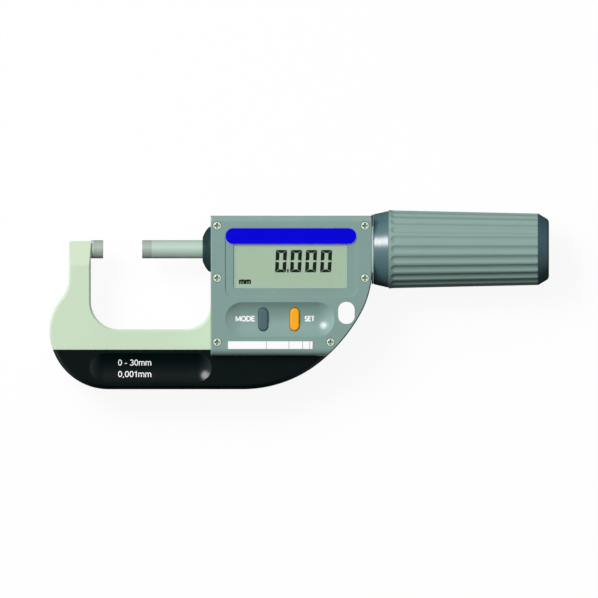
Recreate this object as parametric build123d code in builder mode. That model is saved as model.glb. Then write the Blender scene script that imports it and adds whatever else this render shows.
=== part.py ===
"""Digital outside micrometer with a non-rotating, quick-feed spindle.

Millimetres. The origin is the centre of the anvil's measuring face. X runs along the
measuring line towards the thimble, Y up across the frame, Z out of the display side.
"""

import os
from math import acos, cos, degrees, radians, sin

from build123d import *

os.makedirs("parts", exist_ok=True)

# Fits
running_gap = 0.08
seat_gap = 0.02
cover_gap = 0.1
end_play = 0.1
cut_margin = 1.0

# Measuring line
face_dia = 6.5
opening = 13.9
measuring_range = 30.0
over_travel = 0.5
lead = 10.0
tip_length = 3.4
anvil_neck = 0.2
anvil_base_length = 0.8
anvil_base_step = 0.15
anvil_spigot_dia = 5.0
anvil_spigot_length = 6.0

# Frame casting
frame_thick = 10.0
arm_width = 7.7
arm_rise = 3.0
arm_corner = 0.8
tip_zone = 8.8
tip_thick = 8.4
throat_width = 42.8
throat_depth = 28.6
throat_left_radius = 10.0
throat_right_radius = 9.0
limb_height = 21.4
heel_bulge = 7.0
hip_drop = 29.0
waist_radius = 13.0
hip_radius = 17.5
flank_radii = (44.0, 60.0, 34.0)
flank_turns = (40.0, 20.0, 30.0)
edge_chamfer = 0.7
core_thick = 7.6
core_inset = 2.5

# Housing
housing_length = 57.7
housing_rise = 12.0
skirt_height = 12.0
shell_wall = 1.2
shell_floor = 1.5
cover_wall = 1.6
cover_top = 3.0
cover_step = 0.2
cover_skirt_radius = 2.6
cover_edge_radius = 0.4
cover_bevel_width = 2.0
cover_bevel_drop = 0.45
cover_crease_radius = 3.0
rear_edge_radius = 1.2
gasket_thick = 0.3
gasket_width = 1.2
corner_radius = 0.8

# Grips on the lower limb
grip_height = 14.15
grip_thick = 7.5
grip_edge_radius = 1.6
dish_left = -4.9
dish_length = 43.6
dish_rise = 7.8
dish_half_height = 5.1
dish_depth = 1.1

# Housing face
recess_left = 5.1
recess_width = 47.1
recess_height = 24.75
recess_drop = 4.3
recess_depth = 0.4
recess_radius = 3.0
band_height = 5.9
band_thick = 0.35
band_edge_radius = 0.12
window_left = 8.1
window_width = 40.7
window_height = 15.8
window_drop = 10.25
window_radius = 1.0
window_thick = 1.2
window_ledge = 0.6
lens_gap = 0.05
field_left = 5.1
field_length = 39.1
field_drop = 37.05
field_half_height = 6.15
field_depth = 2.2
button_width = 3.4
button_length = 8.2
button_gap = 0.15
button_rise = 1.0
button_edge_radius = 0.65
button_flange = 0.6
button_flange_thick = 0.7
button_travel = 0.5
button_places = ((18.8, "button_mode"), (30.0, "button_set"))
label_left = 6.2
label_rise = 3.75
label_height = 2.75
label_fields = (13.6, 7.9, 4.7, 2.4, 0.9)
label_line = 0.17
print_thick = 0.12
badge_left = 48.5
badge_drop = 34.75
badge_width = 5.9
badge_height = 7.9
badge_radius = 2.85

# Screws
screw_head_dia = 2.9
screw_head_height = 1.2
screw_dia = 1.6
screw_web = 0.5
screw_sink = 0.15
screw_boss_dia = 4.2
cross_width = 0.45
cross_length = 1.7
cross_depth = 0.6
screw_left = 2.3
screw_right = 2.6
screw_top_clear = 1.9
screw_middle_drop = 22.3
screw_low_rise = 4.8
screw_low_right = 14.9
grip_screw_dia = 2.0
grip_screw_head_dia = 3.8
grip_screw_bite = 1.9
grip_screw_places = (-2.0, 33.0, 62.0)

# Electronics
board_thick = 1.0
board_margin = 4.9
board_end_gap = 0.3
board_air = 0.5
board_top_drop = 2.5
board_bottom_drop = 42.5
board_hole_dia = 1.4
board_screw_dia = 1.2
board_screw_head_dia = 2.4
board_screw_head_height = 0.9
board_post_dia = 3.2
board_post_inset = 3.3
board_post_high = 5.0
board_post_low = 29.2
display_thick = 2.5
display_margin = 0.5
read_head_thick = 0.5
read_head_width = 8.0
membrane_thick = 0.6
membrane_margin = 2.2
dome_taper = 30.0
battery_dia = 20.0
battery_thick = 3.2
battery_left = 21.6
battery_drop = 36.0
battery_rib = 1.0
battery_gap = 0.2
battery_edge_radius = 0.2
contact_thick = 0.15
contact_width = 5.0
cover_lip = 1.4
cover_flange_thick = 0.85
cover_plug = 0.7
seal_section = 0.6
coin_slot_width = 1.8
coin_slot_length = 15.0
coin_slot_depth = 0.45
coin_slot_turn = 45.0

# Spindle guidance
nut_length = 2.9
nut_bore_gap = 0.2
nut_face_wall = 0.65
nut_base_dia = 16.2
nut_bulge = 0.75
nut_spigot_wall = 0.95
nut_spigot_length = 3.0
wiper_wall = 1.0
wiper_length = 1.5
wiper_inset = 0.2
wiper_lip = 0.05
bush_wall = 1.17
bush_length = 8.6
slide_width = 13.0
slide_margin = 0.75
carrier_length = 6.0
carrier_width = 9.0
carrier_depth = 4.5
carrier_corner = 1.0
target_thick = 0.7
target_width = 7.0
target_air = 0.2
end_boss_wall = 1.3
end_boss_length = 7.6

# Feed mechanism
guide_outer = 13.0
guide_bore = 9.16
shoulder_step = 1.0
shoulder_length = 6.3
ring_thick = 0.4
ring_dia = 20.0
pin_dia = 3.0
pin_gap = 0.1
carriage_length = 16.0
spigot_dia = 5.0
spigot_length = 14.5
groove_floor_gap = 0.2
groove_run_out = 1.1
sleeve_dia = 18.0
sleeve_wall = 0.9
sleeve_lip = 3.1
sleeve_margin = 4.1
washer_thick = 1.0
washer_step = 0.2
nut_thick = 2.2
flange_step = 0.9
flange_thick = 2.0
clutch_length = 8.0
clutch_offset = 22.0
clutch_depth = 1.1
clutch_open = 60.0

# Thimble
thimble_gap = 0.1
thimble_length = 62.6
collar_length = 5.3
collar_front_wall = 3.05
collar_round = 0.7
core_wall = 1.8
core_bore_gap = 0.2
grip_front_wall = 3.0
grip_end_wall = 1.85
cap_length = 3.9
cap_face_step = 2.05
cap_round = 1.2
cap_spigot_wall = 0.95
flute_count = 24
flute_radius = 2.2
flute_depth = 0.5
flute_rim = 2.3

# Places that follow from the sizes
face_radius = face_dia / 2
anvil_reach = anvil_base_length + anvil_neck + tip_length
arm_inner = -anvil_reach
arm_outer = arm_inner - arm_width
heel_left = arm_outer - heel_bulge
bottom = -throat_depth - limb_height
heel_radius = -hip_drop - bottom
waist_turn = degrees(acos(1 - heel_bulge / (waist_radius + hip_radius)))
waist_y = (waist_radius + hip_radius) * sin(radians(waist_turn)) - hip_drop
housing_left = arm_inner + throat_width
housing_right = housing_left + housing_length
housing_bottom = bottom + skirt_height
grip_top = bottom + grip_height
dish_y = bottom + dish_rise
frame_front = frame_thick / 2
frame_back = -frame_thick / 2
cover_base = frame_front + gasket_thick
board_base = frame_front + board_screw_head_height + board_air
display_base = board_base + board_thick
cover_ceiling = display_base + display_thick + cover_gap
front_height = cover_ceiling + cover_top
contact_base = frame_back - contact_thick
battery_base = contact_base - battery_thick
flange_top = battery_base - cover_gap - cover_plug
rear_face = flange_top - cover_flange_thick
shell_inner = shell_wall + cover_gap
cover_inner = cover_step + cover_wall


def silhouette(inset, top):
    """Outline seen from the front with the throat filled in, drawn inset by a margin."""
    with BuildSketch(mode=Mode.PRIVATE) as flat:
        with BuildLine():
            arm = Line((arm_outer + inset, top), (arm_outer + inset, waist_y))
            waist = JernArc(arm @ 1, (0, -1), waist_radius + inset, -waist_turn)
            hip = JernArc(waist @ 1, waist % 1, hip_radius - inset, waist_turn)
            heel = JernArc(hip @ 1, (0, -1), heel_radius - inset, 90)
            reach = 0.0
            heading = 0.0
            for radius, turn in zip(flank_radii, flank_turns):
                step = sin(radians(heading + turn)) - sin(radians(heading))
                reach += radius * step
                heading += turn
            sole = Line(heel @ 1, (housing_right - reach, bottom + inset))
            joint = sole @ 1
            tangent = (1, 0)
            for radius, turn in zip(flank_radii, flank_turns):
                arc = JernArc(joint, tangent, radius - inset, turn)
                joint = arc @ 1
                tangent = arc % 1
            Polyline(joint, (housing_right - inset, top), arm @ 0)
        make_face()
    return flat.sketch


def window(left, low, right, high):
    """Plain rectangle given by its edges."""
    with BuildSketch(mode=Mode.PRIVATE) as flat:
        with Locations(((left + right) / 2, (low + high) / 2)):
            Rectangle(right - left, high - low)
    return flat.sketch


def housing_outline(inset, sides, top):
    """Outline of the housing: flank and right side inset, left and bottom by sides."""
    clip = window(
        housing_left + sides,
        housing_bottom + sides,
        housing_right + cut_margin,
        housing_rise + cut_margin,
    )
    return silhouette(inset, top) & clip


def throat_opening():
    """Throat of the frame, open at the top."""
    above = housing_rise + arm_rise
    with BuildSketch(mode=Mode.PRIVATE) as flat:
        with BuildLine():
            throat = FilletPolyline(
                (arm_inner, above),
                (arm_inner, -throat_depth),
                (housing_left, -throat_depth),
                (housing_left, above),
                radius=(throat_left_radius, throat_right_radius),
            )
            Line(throat @ 1, throat @ 0)
        make_face()
    return flat.sketch


def ring(x, length, outer, inner):
    """Turned ring or tube on the measuring line, from x towards the thimble."""
    with BuildPart(mode=Mode.PRIVATE) as turned:
        with BuildSketch(Plane.YZ.offset(x)):
            Circle(outer)
            if inner > 0:
                Circle(inner, mode=Mode.SUBTRACT)
        extrude(amount=length)
    return turned.part


def turned_profile(points):
    """Solid of revolution about the measuring line, from (x, radius) corners."""
    with BuildPart(mode=Mode.PRIVATE) as turned:
        with BuildSketch(Plane.XY):
            with BuildLine():
                Polyline(*points, close=True)
            make_face()
        revolve(axis=Axis.X)
    return turned.part


def long_dish(left, length, middle, half_height, depth, face):
    """Trough with ball ends, standing as far into a face as its depth."""
    radius = (half_height**2 + depth**2) / (2 * depth)
    level = face + radius - depth
    ends = (left + half_height, left + length - half_height)
    with BuildPart(mode=Mode.PRIVATE) as dish:
        with BuildSketch(Plane.YZ.offset(ends[0])):
            with Locations((middle, level)):
                Circle(radius)
        extrude(amount=ends[1] - ends[0])
        with Locations(*((x, middle, level) for x in ends)):
            Sphere(radius)
    return dish.part


def write(part, label):
    """Label a finished piece and write its file."""
    part.label = label
    export_step(part, f"parts/{label}.step")


# Screw places, from the housing's edges
screw_x_left = housing_left + screw_left
screw_x_right = housing_right - screw_right
screw_x_low = housing_right - screw_low_right
screw_y_top = guide_outer / 2 + screw_top_clear
screw_y_middle = housing_rise - screw_middle_drop
screw_y_low = housing_bottom + screw_low_rise
screw_engagement = frame_front - screw_web
corner_screws = (
    (screw_x_left, screw_y_top),
    (screw_x_right, screw_y_top),
    (screw_x_left, screw_y_low),
    (screw_x_low, screw_y_low),
)
middle_screws = ((screw_x_left, screw_y_middle), (screw_x_right, screw_y_middle))
cover_screw_places = corner_screws + middle_screws

# Anvil and spindle places
anvil_start = arm_inner - anvil_spigot_length
anvil_spigot_radius = anvil_spigot_dia / 2
travel = measuring_range + over_travel
nut_spigot_radius = face_radius + nut_bore_gap + nut_spigot_wall
bush_radius = face_radius + running_gap + bush_wall
bush_start = housing_left + nut_spigot_length + end_play
bush_end = bush_start + bush_length
slide_start = bush_end
slide_end = housing_right - end_boss_length
carrier_x = slide_start + slide_margin + opening
guide_radius = guide_outer / 2
end_boss_radius = guide_radius + end_boss_wall
shoulder_start = housing_right + ring_thick
shoulder_end = shoulder_start + shoulder_length
sleeve_start = shoulder_end + washer_thick + end_play
groove_start = sleeve_start + sleeve_lip
pin_closed = groove_start + groove_run_out
pin_x = pin_closed + opening
groove_end = pin_closed + travel + groove_run_out
sleeve_end = groove_end + sleeve_margin

# Frame: one steel casting with arm, lower limb and the plate inside the housing
plate_outline = silhouette(shell_inner, housing_rise - shell_inner)
with BuildPart() as frame:
    with BuildSketch(Plane.XY.offset(frame_back)):
        add(silhouette(0, arm_rise) & window(heel_left, grip_top, housing_left, arm_rise))
        add(
            plate_outline
            & window(housing_left, housing_bottom, housing_right, housing_rise)
        )
        add(throat_opening(), mode=Mode.SUBTRACT)
    extrude(amount=frame_thick)
    arm_tops = edges().filter_by(Axis.Z).filter_by(
        lambda edge: edge.center().X < 0 and abs(edge.center().Y - arm_rise) < seat_gap
    )
    fillet(arm_tops, arm_corner)
    rim = edges().filter_by(
        lambda edge: edge.center().X < housing_left - edge_chamfer
        and edge.center().Y > grip_top + edge_chamfer
        and abs(edge.center().Z) > frame_front - seat_gap
    )
    chamfer(rim, edge_chamfer)
    for side in (1, -1):
        with BuildSketch(Plane.YZ.offset(arm_outer)):
            with BuildLine():
                Polyline(
                    (arm_rise - tip_zone, side * frame_front),
                    (arm_rise, side * tip_thick / 2),
                    (arm_rise, side * frame_thick),
                    (arm_rise - tip_zone, side * frame_thick),
                    close=True,
                )
            make_face()
        extrude(amount=arm_width, mode=Mode.SUBTRACT)
    with BuildSketch(Plane.XY.offset(-core_thick / 2)):
        add(silhouette(core_inset, 0) & window(heel_left, bottom, housing_right, grip_top))
    extrude(amount=core_thick)
    add(ring(slide_end, end_boss_length, end_boss_radius, 0))
    add(
        ring(anvil_start, anvil_spigot_length, anvil_spigot_radius + seat_gap, 0),
        mode=Mode.SUBTRACT,
    )
    add(
        ring(housing_left, nut_spigot_length + end_play, nut_spigot_radius + seat_gap, 0),
        mode=Mode.SUBTRACT,
    )
    add(ring(bush_start, bush_length, bush_radius + seat_gap, 0), mode=Mode.SUBTRACT)
    with BuildSketch(Plane.XY.offset(-frame_thick)):
        with Locations(((slide_start + slide_end) / 2, 0)):
            Rectangle(slide_end - slide_start, slide_width)
    extrude(amount=2 * frame_thick, mode=Mode.SUBTRACT)
    add(ring(slide_end, end_boss_length, guide_radius + seat_gap, 0), mode=Mode.SUBTRACT)
    with BuildSketch(Plane.XY.offset(frame_front - screw_engagement)):
        with Locations(*cover_screw_places):
            Circle(screw_dia / 2 + seat_gap)
    extrude(amount=screw_engagement, mode=Mode.SUBTRACT)
    with BuildSketch(Plane.XY.offset(frame_back)):
        with Locations(*corner_screws):
            Circle(screw_dia / 2 + seat_gap)
    extrude(amount=screw_engagement, mode=Mode.SUBTRACT)
    with BuildSketch(Plane.XY.offset(-core_thick / 2)):
        with Locations(*((x, dish_y) for x in grip_screw_places)):
            Circle(grip_screw_dia / 2 + cover_gap)
    extrude(amount=core_thick, mode=Mode.SUBTRACT)
write(frame.part, "frame")

# Anvil with its carbide tip
with BuildPart() as anvil:
    add(ring(anvil_start, anvil_spigot_length, anvil_spigot_radius, 0))
    add(ring(arm_inner, anvil_base_length, face_radius - anvil_base_step, 0))
    add(ring(arm_inner + anvil_base_length, anvil_neck, face_radius, 0))
write(anvil.part, "anvil")

with BuildPart() as anvil_tip:
    add(ring(-tip_length, tip_length, face_radius, 0))
write(anvil_tip.part, "anvil_carbide_tip")

# Housing face places
recess_x = housing_left + recess_left + recess_width / 2
recess_y_top = housing_rise - recess_drop
recess_y = recess_y_top - recess_height / 2
window_x = housing_left + window_left + window_width / 2
window_y = housing_rise - window_drop - window_height / 2
field_y = housing_rise - field_drop
recess_floor = front_height - recess_depth
window_base = recess_floor - window_thick
field_floor = front_height - field_depth
board_x_left = housing_left + board_margin
board_x_right = slide_end - board_end_gap
board_y_top = housing_rise - board_top_drop
board_y_bottom = housing_rise - board_bottom_drop
board_post_places = tuple(
    (x, y)
    for x in (board_x_left + board_post_inset, board_x_right - board_post_inset)
    for y in (housing_rise - board_post_high, housing_rise - board_post_low)
)
head_top = front_height - screw_sink
head_seat = head_top - screw_head_height
boss_room = ring(
    slide_end - cover_gap, end_boss_length + cut_margin, end_boss_radius + cover_gap, 0
)

# Front cover: moulded, with the display recess and the dished button field
with BuildPart() as front_cover:
    with BuildSketch(Plane.XY.offset(cover_base)):
        add(housing_outline(cover_step, 0, housing_rise))
    extrude(amount=front_height - cover_base)
    top_face = faces().sort_by(Axis.Z)[-1]
    top_edge = top_face.edges().sort_by(Axis.Y)[-1]
    chamfer(top_edge, cover_bevel_width, cover_bevel_drop, reference=top_face)
    posts = edges().filter_by(Axis.Z)
    fillet(posts.filter_by(lambda edge: edge.center().Y > 0), corner_radius)
    skirt = edges().filter_by(Axis.X).group_by(Axis.Z)[-1].sort_by(Axis.Y)[0]
    fillet(skirt, cover_skirt_radius)
    crease = faces().sort_by(Axis.Z)[-1].edges().sort_by(Axis.Y)[-1]
    fillet(crease, cover_crease_radius)
    rim = edges().filter_by(Axis.X).group_by(Axis.Y)[-1].sort_by(Axis.Z)[-1]
    fillet(rim, cover_edge_radius)
    with BuildSketch(Plane.XY.offset(cover_base)):
        add(housing_outline(cover_inner, cover_wall, housing_rise - cover_wall))
    extrude(amount=cover_ceiling - cover_base, mode=Mode.SUBTRACT)
    with BuildSketch(Plane.XY.offset(cover_base)):
        with Locations(*cover_screw_places):
            Circle(screw_boss_dia / 2)
    extrude(amount=cover_ceiling - cover_base)
    with BuildSketch(Plane.XY.offset(display_base)):
        with Locations(*board_post_places):
            Circle(board_post_dia / 2)
    extrude(amount=cover_ceiling - display_base)
    with BuildSketch(Plane.XY.offset(display_base)):
        with Locations(*board_post_places):
            Circle(board_screw_dia / 2 + seat_gap)
    extrude(amount=cover_ceiling - display_base, mode=Mode.SUBTRACT)
    with BuildSketch(Plane.XY.offset(recess_floor)):
        with Locations((recess_x, recess_y)):
            RectangleRounded(recess_width, recess_height, recess_radius)
    extrude(amount=recess_depth, mode=Mode.SUBTRACT)
    with BuildSketch(Plane.XY.offset(window_base)):
        with Locations((window_x, window_y)):
            RectangleRounded(window_width, window_height, window_radius)
    extrude(amount=window_thick, mode=Mode.SUBTRACT)
    with BuildSketch(Plane.XY.offset(cover_ceiling)):
        with Locations((window_x, window_y)):
            RectangleRounded(
                window_width - 2 * window_ledge,
                window_height - 2 * window_ledge,
                window_radius - window_ledge,
            )
    extrude(amount=window_base - cover_ceiling, mode=Mode.SUBTRACT)
    field_x = housing_left + field_left
    add(
        long_dish(field_x, field_length, field_y, field_half_height, field_depth, front_height),
        mode=Mode.SUBTRACT,
    )
    with BuildSketch(Plane.XY.offset(cover_ceiling)):
        with Locations(*((housing_left + x, field_y) for x, name in button_places)):
            SlotOverall(button_length + 2 * button_gap, button_width + 2 * button_gap, rotation=90)
    extrude(amount=cover_top, mode=Mode.SUBTRACT)
    with BuildSketch(Plane.XY.offset(head_seat)):
        with Locations(*cover_screw_places):
            Circle(screw_head_dia / 2 + cover_gap)
    extrude(amount=cover_top, mode=Mode.SUBTRACT)
    with BuildSketch(Plane.XY.offset(cover_base)):
        with Locations(*cover_screw_places):
            Circle(screw_dia / 2 + cover_gap)
    extrude(amount=front_height - cover_base, mode=Mode.SUBTRACT)
    add(boss_room, mode=Mode.SUBTRACT)
write(front_cover.part, "front_cover")

# Flat gasket under the cover, on shell and frame
with BuildPart() as gasket:
    with BuildSketch(Plane.XY.offset(frame_front)):
        add(housing_outline(cover_step, 0, housing_rise))
        add(
            housing_outline(cover_step + gasket_width, gasket_width, housing_rise - gasket_width),
            mode=Mode.SUBTRACT,
        )
        with Locations(*cover_screw_places):
            Circle(screw_boss_dia / 2)
        with Locations(*cover_screw_places):
            Circle(screw_dia / 2 + cover_gap, mode=Mode.SUBTRACT)
        add(silhouette(cover_step, housing_rise), mode=Mode.INTERSECT)
    extrude(amount=gasket_thick)
    add(boss_room, mode=Mode.SUBTRACT)
write(gasket.part, "cover_gasket")


def cross_screw(places, seat, shank_length, head, shank, head_height):
    """Cross recess screws with their heads up at seat, as one group of solids."""
    with BuildPart(mode=Mode.PRIVATE) as screws:
        for x, y in places:
            with BuildSketch(Plane.XY.offset(seat)):
                with Locations((x, y)):
                    Circle(head / 2)
            extrude(amount=head_height)
            with BuildSketch(Plane.XY.offset(seat - shank_length)):
                with Locations((x, y)):
                    Circle(shank / 2)
            extrude(amount=shank_length)
            with BuildSketch(Plane.XY.offset(seat + head_height - cross_depth)):
                with Locations((x, y)):
                    Rectangle(cross_length, cross_width)
                    Rectangle(cross_width, cross_length)
            extrude(amount=cross_depth, mode=Mode.SUBTRACT)
    return screws.part


cover_shank = head_seat - frame_front + screw_engagement - cover_gap
cover_screws = cross_screw(
    cover_screw_places, head_seat, cover_shank, screw_head_dia, screw_dia, screw_head_height
)
write(cover_screws, "cover_screws")

# Rear shell: moulded tub that wraps the frame plate on the top and the flank
battery_x = housing_left + battery_left
battery_y = housing_rise - battery_drop
battery_radius = battery_dia / 2
floor_top = rear_face + shell_floor
flange_radius = battery_radius + cover_lip
seat_radius = flange_radius + cover_gap
bore_radius = battery_radius + seal_section + cover_gap
rear_head_seat = rear_face + screw_head_height + screw_sink
with BuildPart() as rear_shell:
    with BuildSketch(Plane.XY.offset(rear_face)):
        add(housing_outline(0, 0, housing_rise))
    extrude(amount=frame_front - rear_face)
    posts = edges().filter_by(Axis.Z)
    fillet(posts.filter_by(lambda edge: edge.center().Y > 0), corner_radius)
    fillet(faces().sort_by(Axis.Z)[0].edges(), rear_edge_radius)
    with BuildSketch(Plane.XY.offset(frame_back)):
        add(
            silhouette(shell_wall, housing_rise - shell_wall)
            & window(housing_left, housing_bottom, housing_right, housing_rise)
        )
    extrude(amount=frame_thick, mode=Mode.SUBTRACT)
    with BuildSketch(Plane.XY.offset(floor_top)):
        add(housing_outline(shell_wall, shell_wall, housing_rise - shell_wall))
    extrude(amount=frame_back - floor_top, mode=Mode.SUBTRACT)
    with BuildSketch(Plane.XY.offset(floor_top)):
        with Locations(*corner_screws):
            Circle(screw_boss_dia / 2)
        with Locations((battery_x, battery_y)):
            Circle(battery_radius + battery_gap + battery_rib)
            Circle(battery_radius + battery_gap, mode=Mode.SUBTRACT)
    extrude(amount=frame_back - floor_top)
    with BuildSketch(Plane.XY.offset(rear_face)):
        with Locations((battery_x, battery_y)):
            Circle(seat_radius)
    extrude(amount=cover_flange_thick + lens_gap, mode=Mode.SUBTRACT)
    with BuildSketch(Plane.XY.offset(rear_face)):
        with Locations((battery_x, battery_y)):
            Circle(bore_radius)
    extrude(amount=shell_floor, mode=Mode.SUBTRACT)
    with BuildSketch(Plane.XY.offset(frame_back)):
        with Locations((battery_x, battery_y)):
            Rectangle(2 * battery_dia, contact_width + 2 * battery_gap)
    extrude(amount=-contact_thick - battery_gap, mode=Mode.SUBTRACT)
    with BuildSketch(Plane.XY.offset(rear_face)):
        with Locations(*corner_screws):
            Circle(screw_head_dia / 2 + cover_gap)
    extrude(amount=screw_head_height + screw_sink, mode=Mode.SUBTRACT)
    with BuildSketch(Plane.XY.offset(rear_face)):
        with Locations(*corner_screws):
            Circle(screw_dia / 2 + cover_gap)
    extrude(amount=frame_back - rear_face, mode=Mode.SUBTRACT)
    add(boss_room, mode=Mode.SUBTRACT)
write(rear_shell.part, "rear_shell")

rear_shank = frame_back - rear_head_seat + screw_engagement - cover_gap
rear_screws = cross_screw(
    tuple((x, -y) for x, y in corner_screws),
    -rear_head_seat,
    rear_shank,
    screw_head_dia,
    screw_dia,
    screw_head_height,
).rotate(Axis.X, 180)
write(rear_screws, "rear_screws")

# Grips: a front and a rear moulding that close round the lower limb


def grip_half():
    """Front half of the grip, from the parting plane up, with room for the limb's core."""
    with BuildPart(mode=Mode.PRIVATE) as half:
        with BuildSketch(Plane.XY):
            add(
                silhouette(0, 0)
                & (
                    window(heel_left, bottom, housing_left - seat_gap, grip_top)
                    + window(heel_left, bottom, housing_right, housing_bottom - seat_gap)
                )
            )
        extrude(amount=grip_thick)
        face = faces().sort_by(Axis.Z)[-1]
        low = face.edges().filter_by(
            lambda edge: edge.geom_type != GeomType.LINE
            or abs(edge.center().Y - bottom) < seat_gap
        )
        fillet(low, grip_edge_radius)
        with BuildSketch(Plane.XY):
            add(silhouette(core_inset - cover_gap, 0))
        extrude(amount=core_thick / 2 + cover_gap, mode=Mode.SUBTRACT)
    return half.part


with BuildPart() as grip_front:
    add(grip_half())
    add(
        long_dish(dish_left, dish_length, dish_y, dish_half_height, dish_depth, grip_thick),
        mode=Mode.SUBTRACT,
    )
    with BuildSketch(Plane.XY):
        with Locations(*((x, dish_y) for x in grip_screw_places)):
            Circle(grip_screw_dia / 2 + seat_gap)
    extrude(amount=core_thick / 2 + cover_gap + grip_screw_bite, mode=Mode.SUBTRACT)
write(grip_front.part, "grip_front")

grip_head_seat = screw_head_height + screw_sink - grip_thick
with BuildPart() as grip_rear:
    add(grip_half().mirror(Plane.XY))
    with BuildSketch(Plane.XY.offset(-grip_thick)):
        with Locations(*((x, dish_y) for x in grip_screw_places)):
            Circle(grip_screw_head_dia / 2 + cover_gap)
    extrude(amount=screw_head_height + screw_sink, mode=Mode.SUBTRACT)
    with BuildSketch(Plane.XY.offset(-grip_thick)):
        with Locations(*((x, dish_y) for x in grip_screw_places)):
            Circle(grip_screw_dia / 2 + cover_gap)
    extrude(amount=grip_thick, mode=Mode.SUBTRACT)
write(grip_rear.part, "grip_rear")

grip_shank = core_thick / 2 + grip_screw_bite - grip_head_seat
grip_screws = cross_screw(
    tuple((x, -dish_y) for x in grip_screw_places),
    -grip_head_seat,
    grip_shank,
    grip_screw_head_dia,
    grip_screw_dia,
    screw_head_height,
).rotate(Axis.X, 180)
write(grip_screws, "grip_screws")

# Display window, laid in the recess on the opening's ledge
with BuildPart() as display_window:
    with BuildSketch(Plane.XY.offset(window_base)):
        with Locations((window_x, window_y)):
            RectangleRounded(
                window_width - 2 * lens_gap, window_height - 2 * lens_gap, window_radius
            )
    extrude(amount=window_thick)
write(display_window.part, "display_window")

# Name band, label fields and badge: thin plates and print on the face
with BuildPart() as name_band:
    with BuildSketch(Plane.XY.offset(recess_floor)):
        with Locations((recess_x, recess_y_top - band_height / 2 - lens_gap)):
            SlotOverall(recess_width - 2 * lens_gap, band_height)
    extrude(amount=band_thick)
    fillet(faces().sort_by(Axis.Z)[-1].edges(), band_edge_radius)
write(name_band.part, "name_band")

with BuildPart() as label_bar:
    start = housing_left + label_left
    for width in label_fields:
        with BuildSketch(Plane.XY.offset(front_height)):
            with Locations((start + width / 2, housing_bottom + label_rise)):
                Rectangle(width, label_height)
        extrude(amount=print_thick)
        start += width + label_line
write(label_bar.part, "label_bar")

with BuildPart() as badge:
    with BuildSketch(Plane.XY.offset(front_height)):
        with Locations((housing_left + badge_left, housing_rise - badge_drop)):
            RectangleRounded(badge_width, badge_height, badge_radius)
    extrude(amount=print_thick)
write(badge.part, "badge_oval")

# Circuit board, display, read head and button membrane
board_outline = silhouette(cover_inner + cover_gap, housing_rise) & window(
    board_x_left, board_y_bottom, board_x_right, board_y_top
)
with BuildPart() as board:
    with BuildSketch(Plane.XY.offset(board_base)):
        add(board_outline)
        with Locations(*board_post_places):
            Circle(board_hole_dia / 2, mode=Mode.SUBTRACT)
    extrude(amount=board_thick)
write(board.part, "circuit_board")

board_shank = board_thick + cover_ceiling - display_base - cover_gap
board_screws = cross_screw(
    tuple((x, -y) for x, y in board_post_places),
    -board_base,
    board_shank,
    board_screw_head_dia,
    board_screw_dia,
    board_screw_head_height,
).rotate(Axis.X, 180)
write(board_screws, "board_screws")

with BuildPart() as display:
    with BuildSketch(Plane.XY.offset(display_base)):
        with Locations((window_x, window_y)):
            Rectangle(window_width + 2 * display_margin, window_height + 2 * display_margin)
    extrude(amount=display_thick)
    with BuildSketch(Plane.XY.offset(display_base)):
        with Locations((window_x, window_y)):
            RectangleRounded(
                window_width - 2 * (window_ledge + cover_gap),
                window_height - 2 * (window_ledge + cover_gap),
                window_radius - window_ledge,
            )
    extrude(amount=window_base - lens_gap - display_base)
write(display.part, "display_module")

with BuildPart() as read_head:
    with BuildSketch(Plane.XY.offset(board_base - read_head_thick)):
        with Locations(((slide_start + board_x_right) / 2, 0)):
            Rectangle(board_x_right - slide_start, read_head_width)
    extrude(amount=read_head_thick)
write(read_head.part, "read_head")

flange_level = cover_ceiling - cover_gap
membrane_top = display_base + membrane_thick
pressed_level = flange_level - button_flange_thick - button_travel
button_spots = tuple((housing_left + x, field_y) for x, name in button_places)
with BuildPart() as membrane:
    with BuildSketch(Plane.XY.offset(display_base)):
        middle = sum(x for x, y in button_spots) / len(button_spots)
        span = button_spots[-1][0] - button_spots[0][0]
        with Locations((middle, field_y)):
            RectangleRounded(
                span + button_width + 2 * membrane_margin,
                button_length + membrane_margin,
                membrane_margin / 2,
            )
    extrude(amount=membrane_thick)
    with BuildSketch(Plane.XY.offset(membrane_top)):
        with Locations(*button_spots):
            SlotOverall(button_length, button_width, rotation=90)
    extrude(amount=pressed_level - seat_gap - membrane_top, taper=dome_taper)
write(membrane.part, "button_membrane")

# Buttons: caps in the dished field, held by a flange under the cover
for spot, (place, label) in zip(button_spots, button_places):
    with BuildPart() as button:
        with BuildSketch(Plane.XY.offset(flange_level - button_flange_thick)):
            with Locations(spot):
                SlotOverall(
                    button_length + 2 * button_flange,
                    button_width + 2 * button_flange,
                    rotation=90,
                )
        extrude(amount=button_flange_thick)
        with BuildSketch(Plane.XY.offset(flange_level)):
            with Locations(spot):
                SlotOverall(button_length, button_width, rotation=90)
        extrude(amount=field_floor + button_rise - flange_level)
        fillet(faces().sort_by(Axis.Z)[-1].edges(), button_edge_radius)
    write(button.part, label)

# Battery with its contact leaf, screw-in cover and seal
with BuildPart() as contact:
    with BuildSketch(Plane.XY.offset(contact_base)):
        with Locations((battery_x, battery_y)):
            Rectangle(battery_dia, contact_width)
    extrude(amount=contact_thick)
write(contact.part, "battery_contact")

with BuildPart() as battery:
    with BuildSketch(Plane.XY.offset(battery_base)):
        with Locations((battery_x, battery_y)):
            Circle(battery_radius)
    extrude(amount=battery_thick)
    fillet(edges().filter_by(GeomType.CIRCLE), battery_edge_radius)
write(battery.part, "battery")

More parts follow.
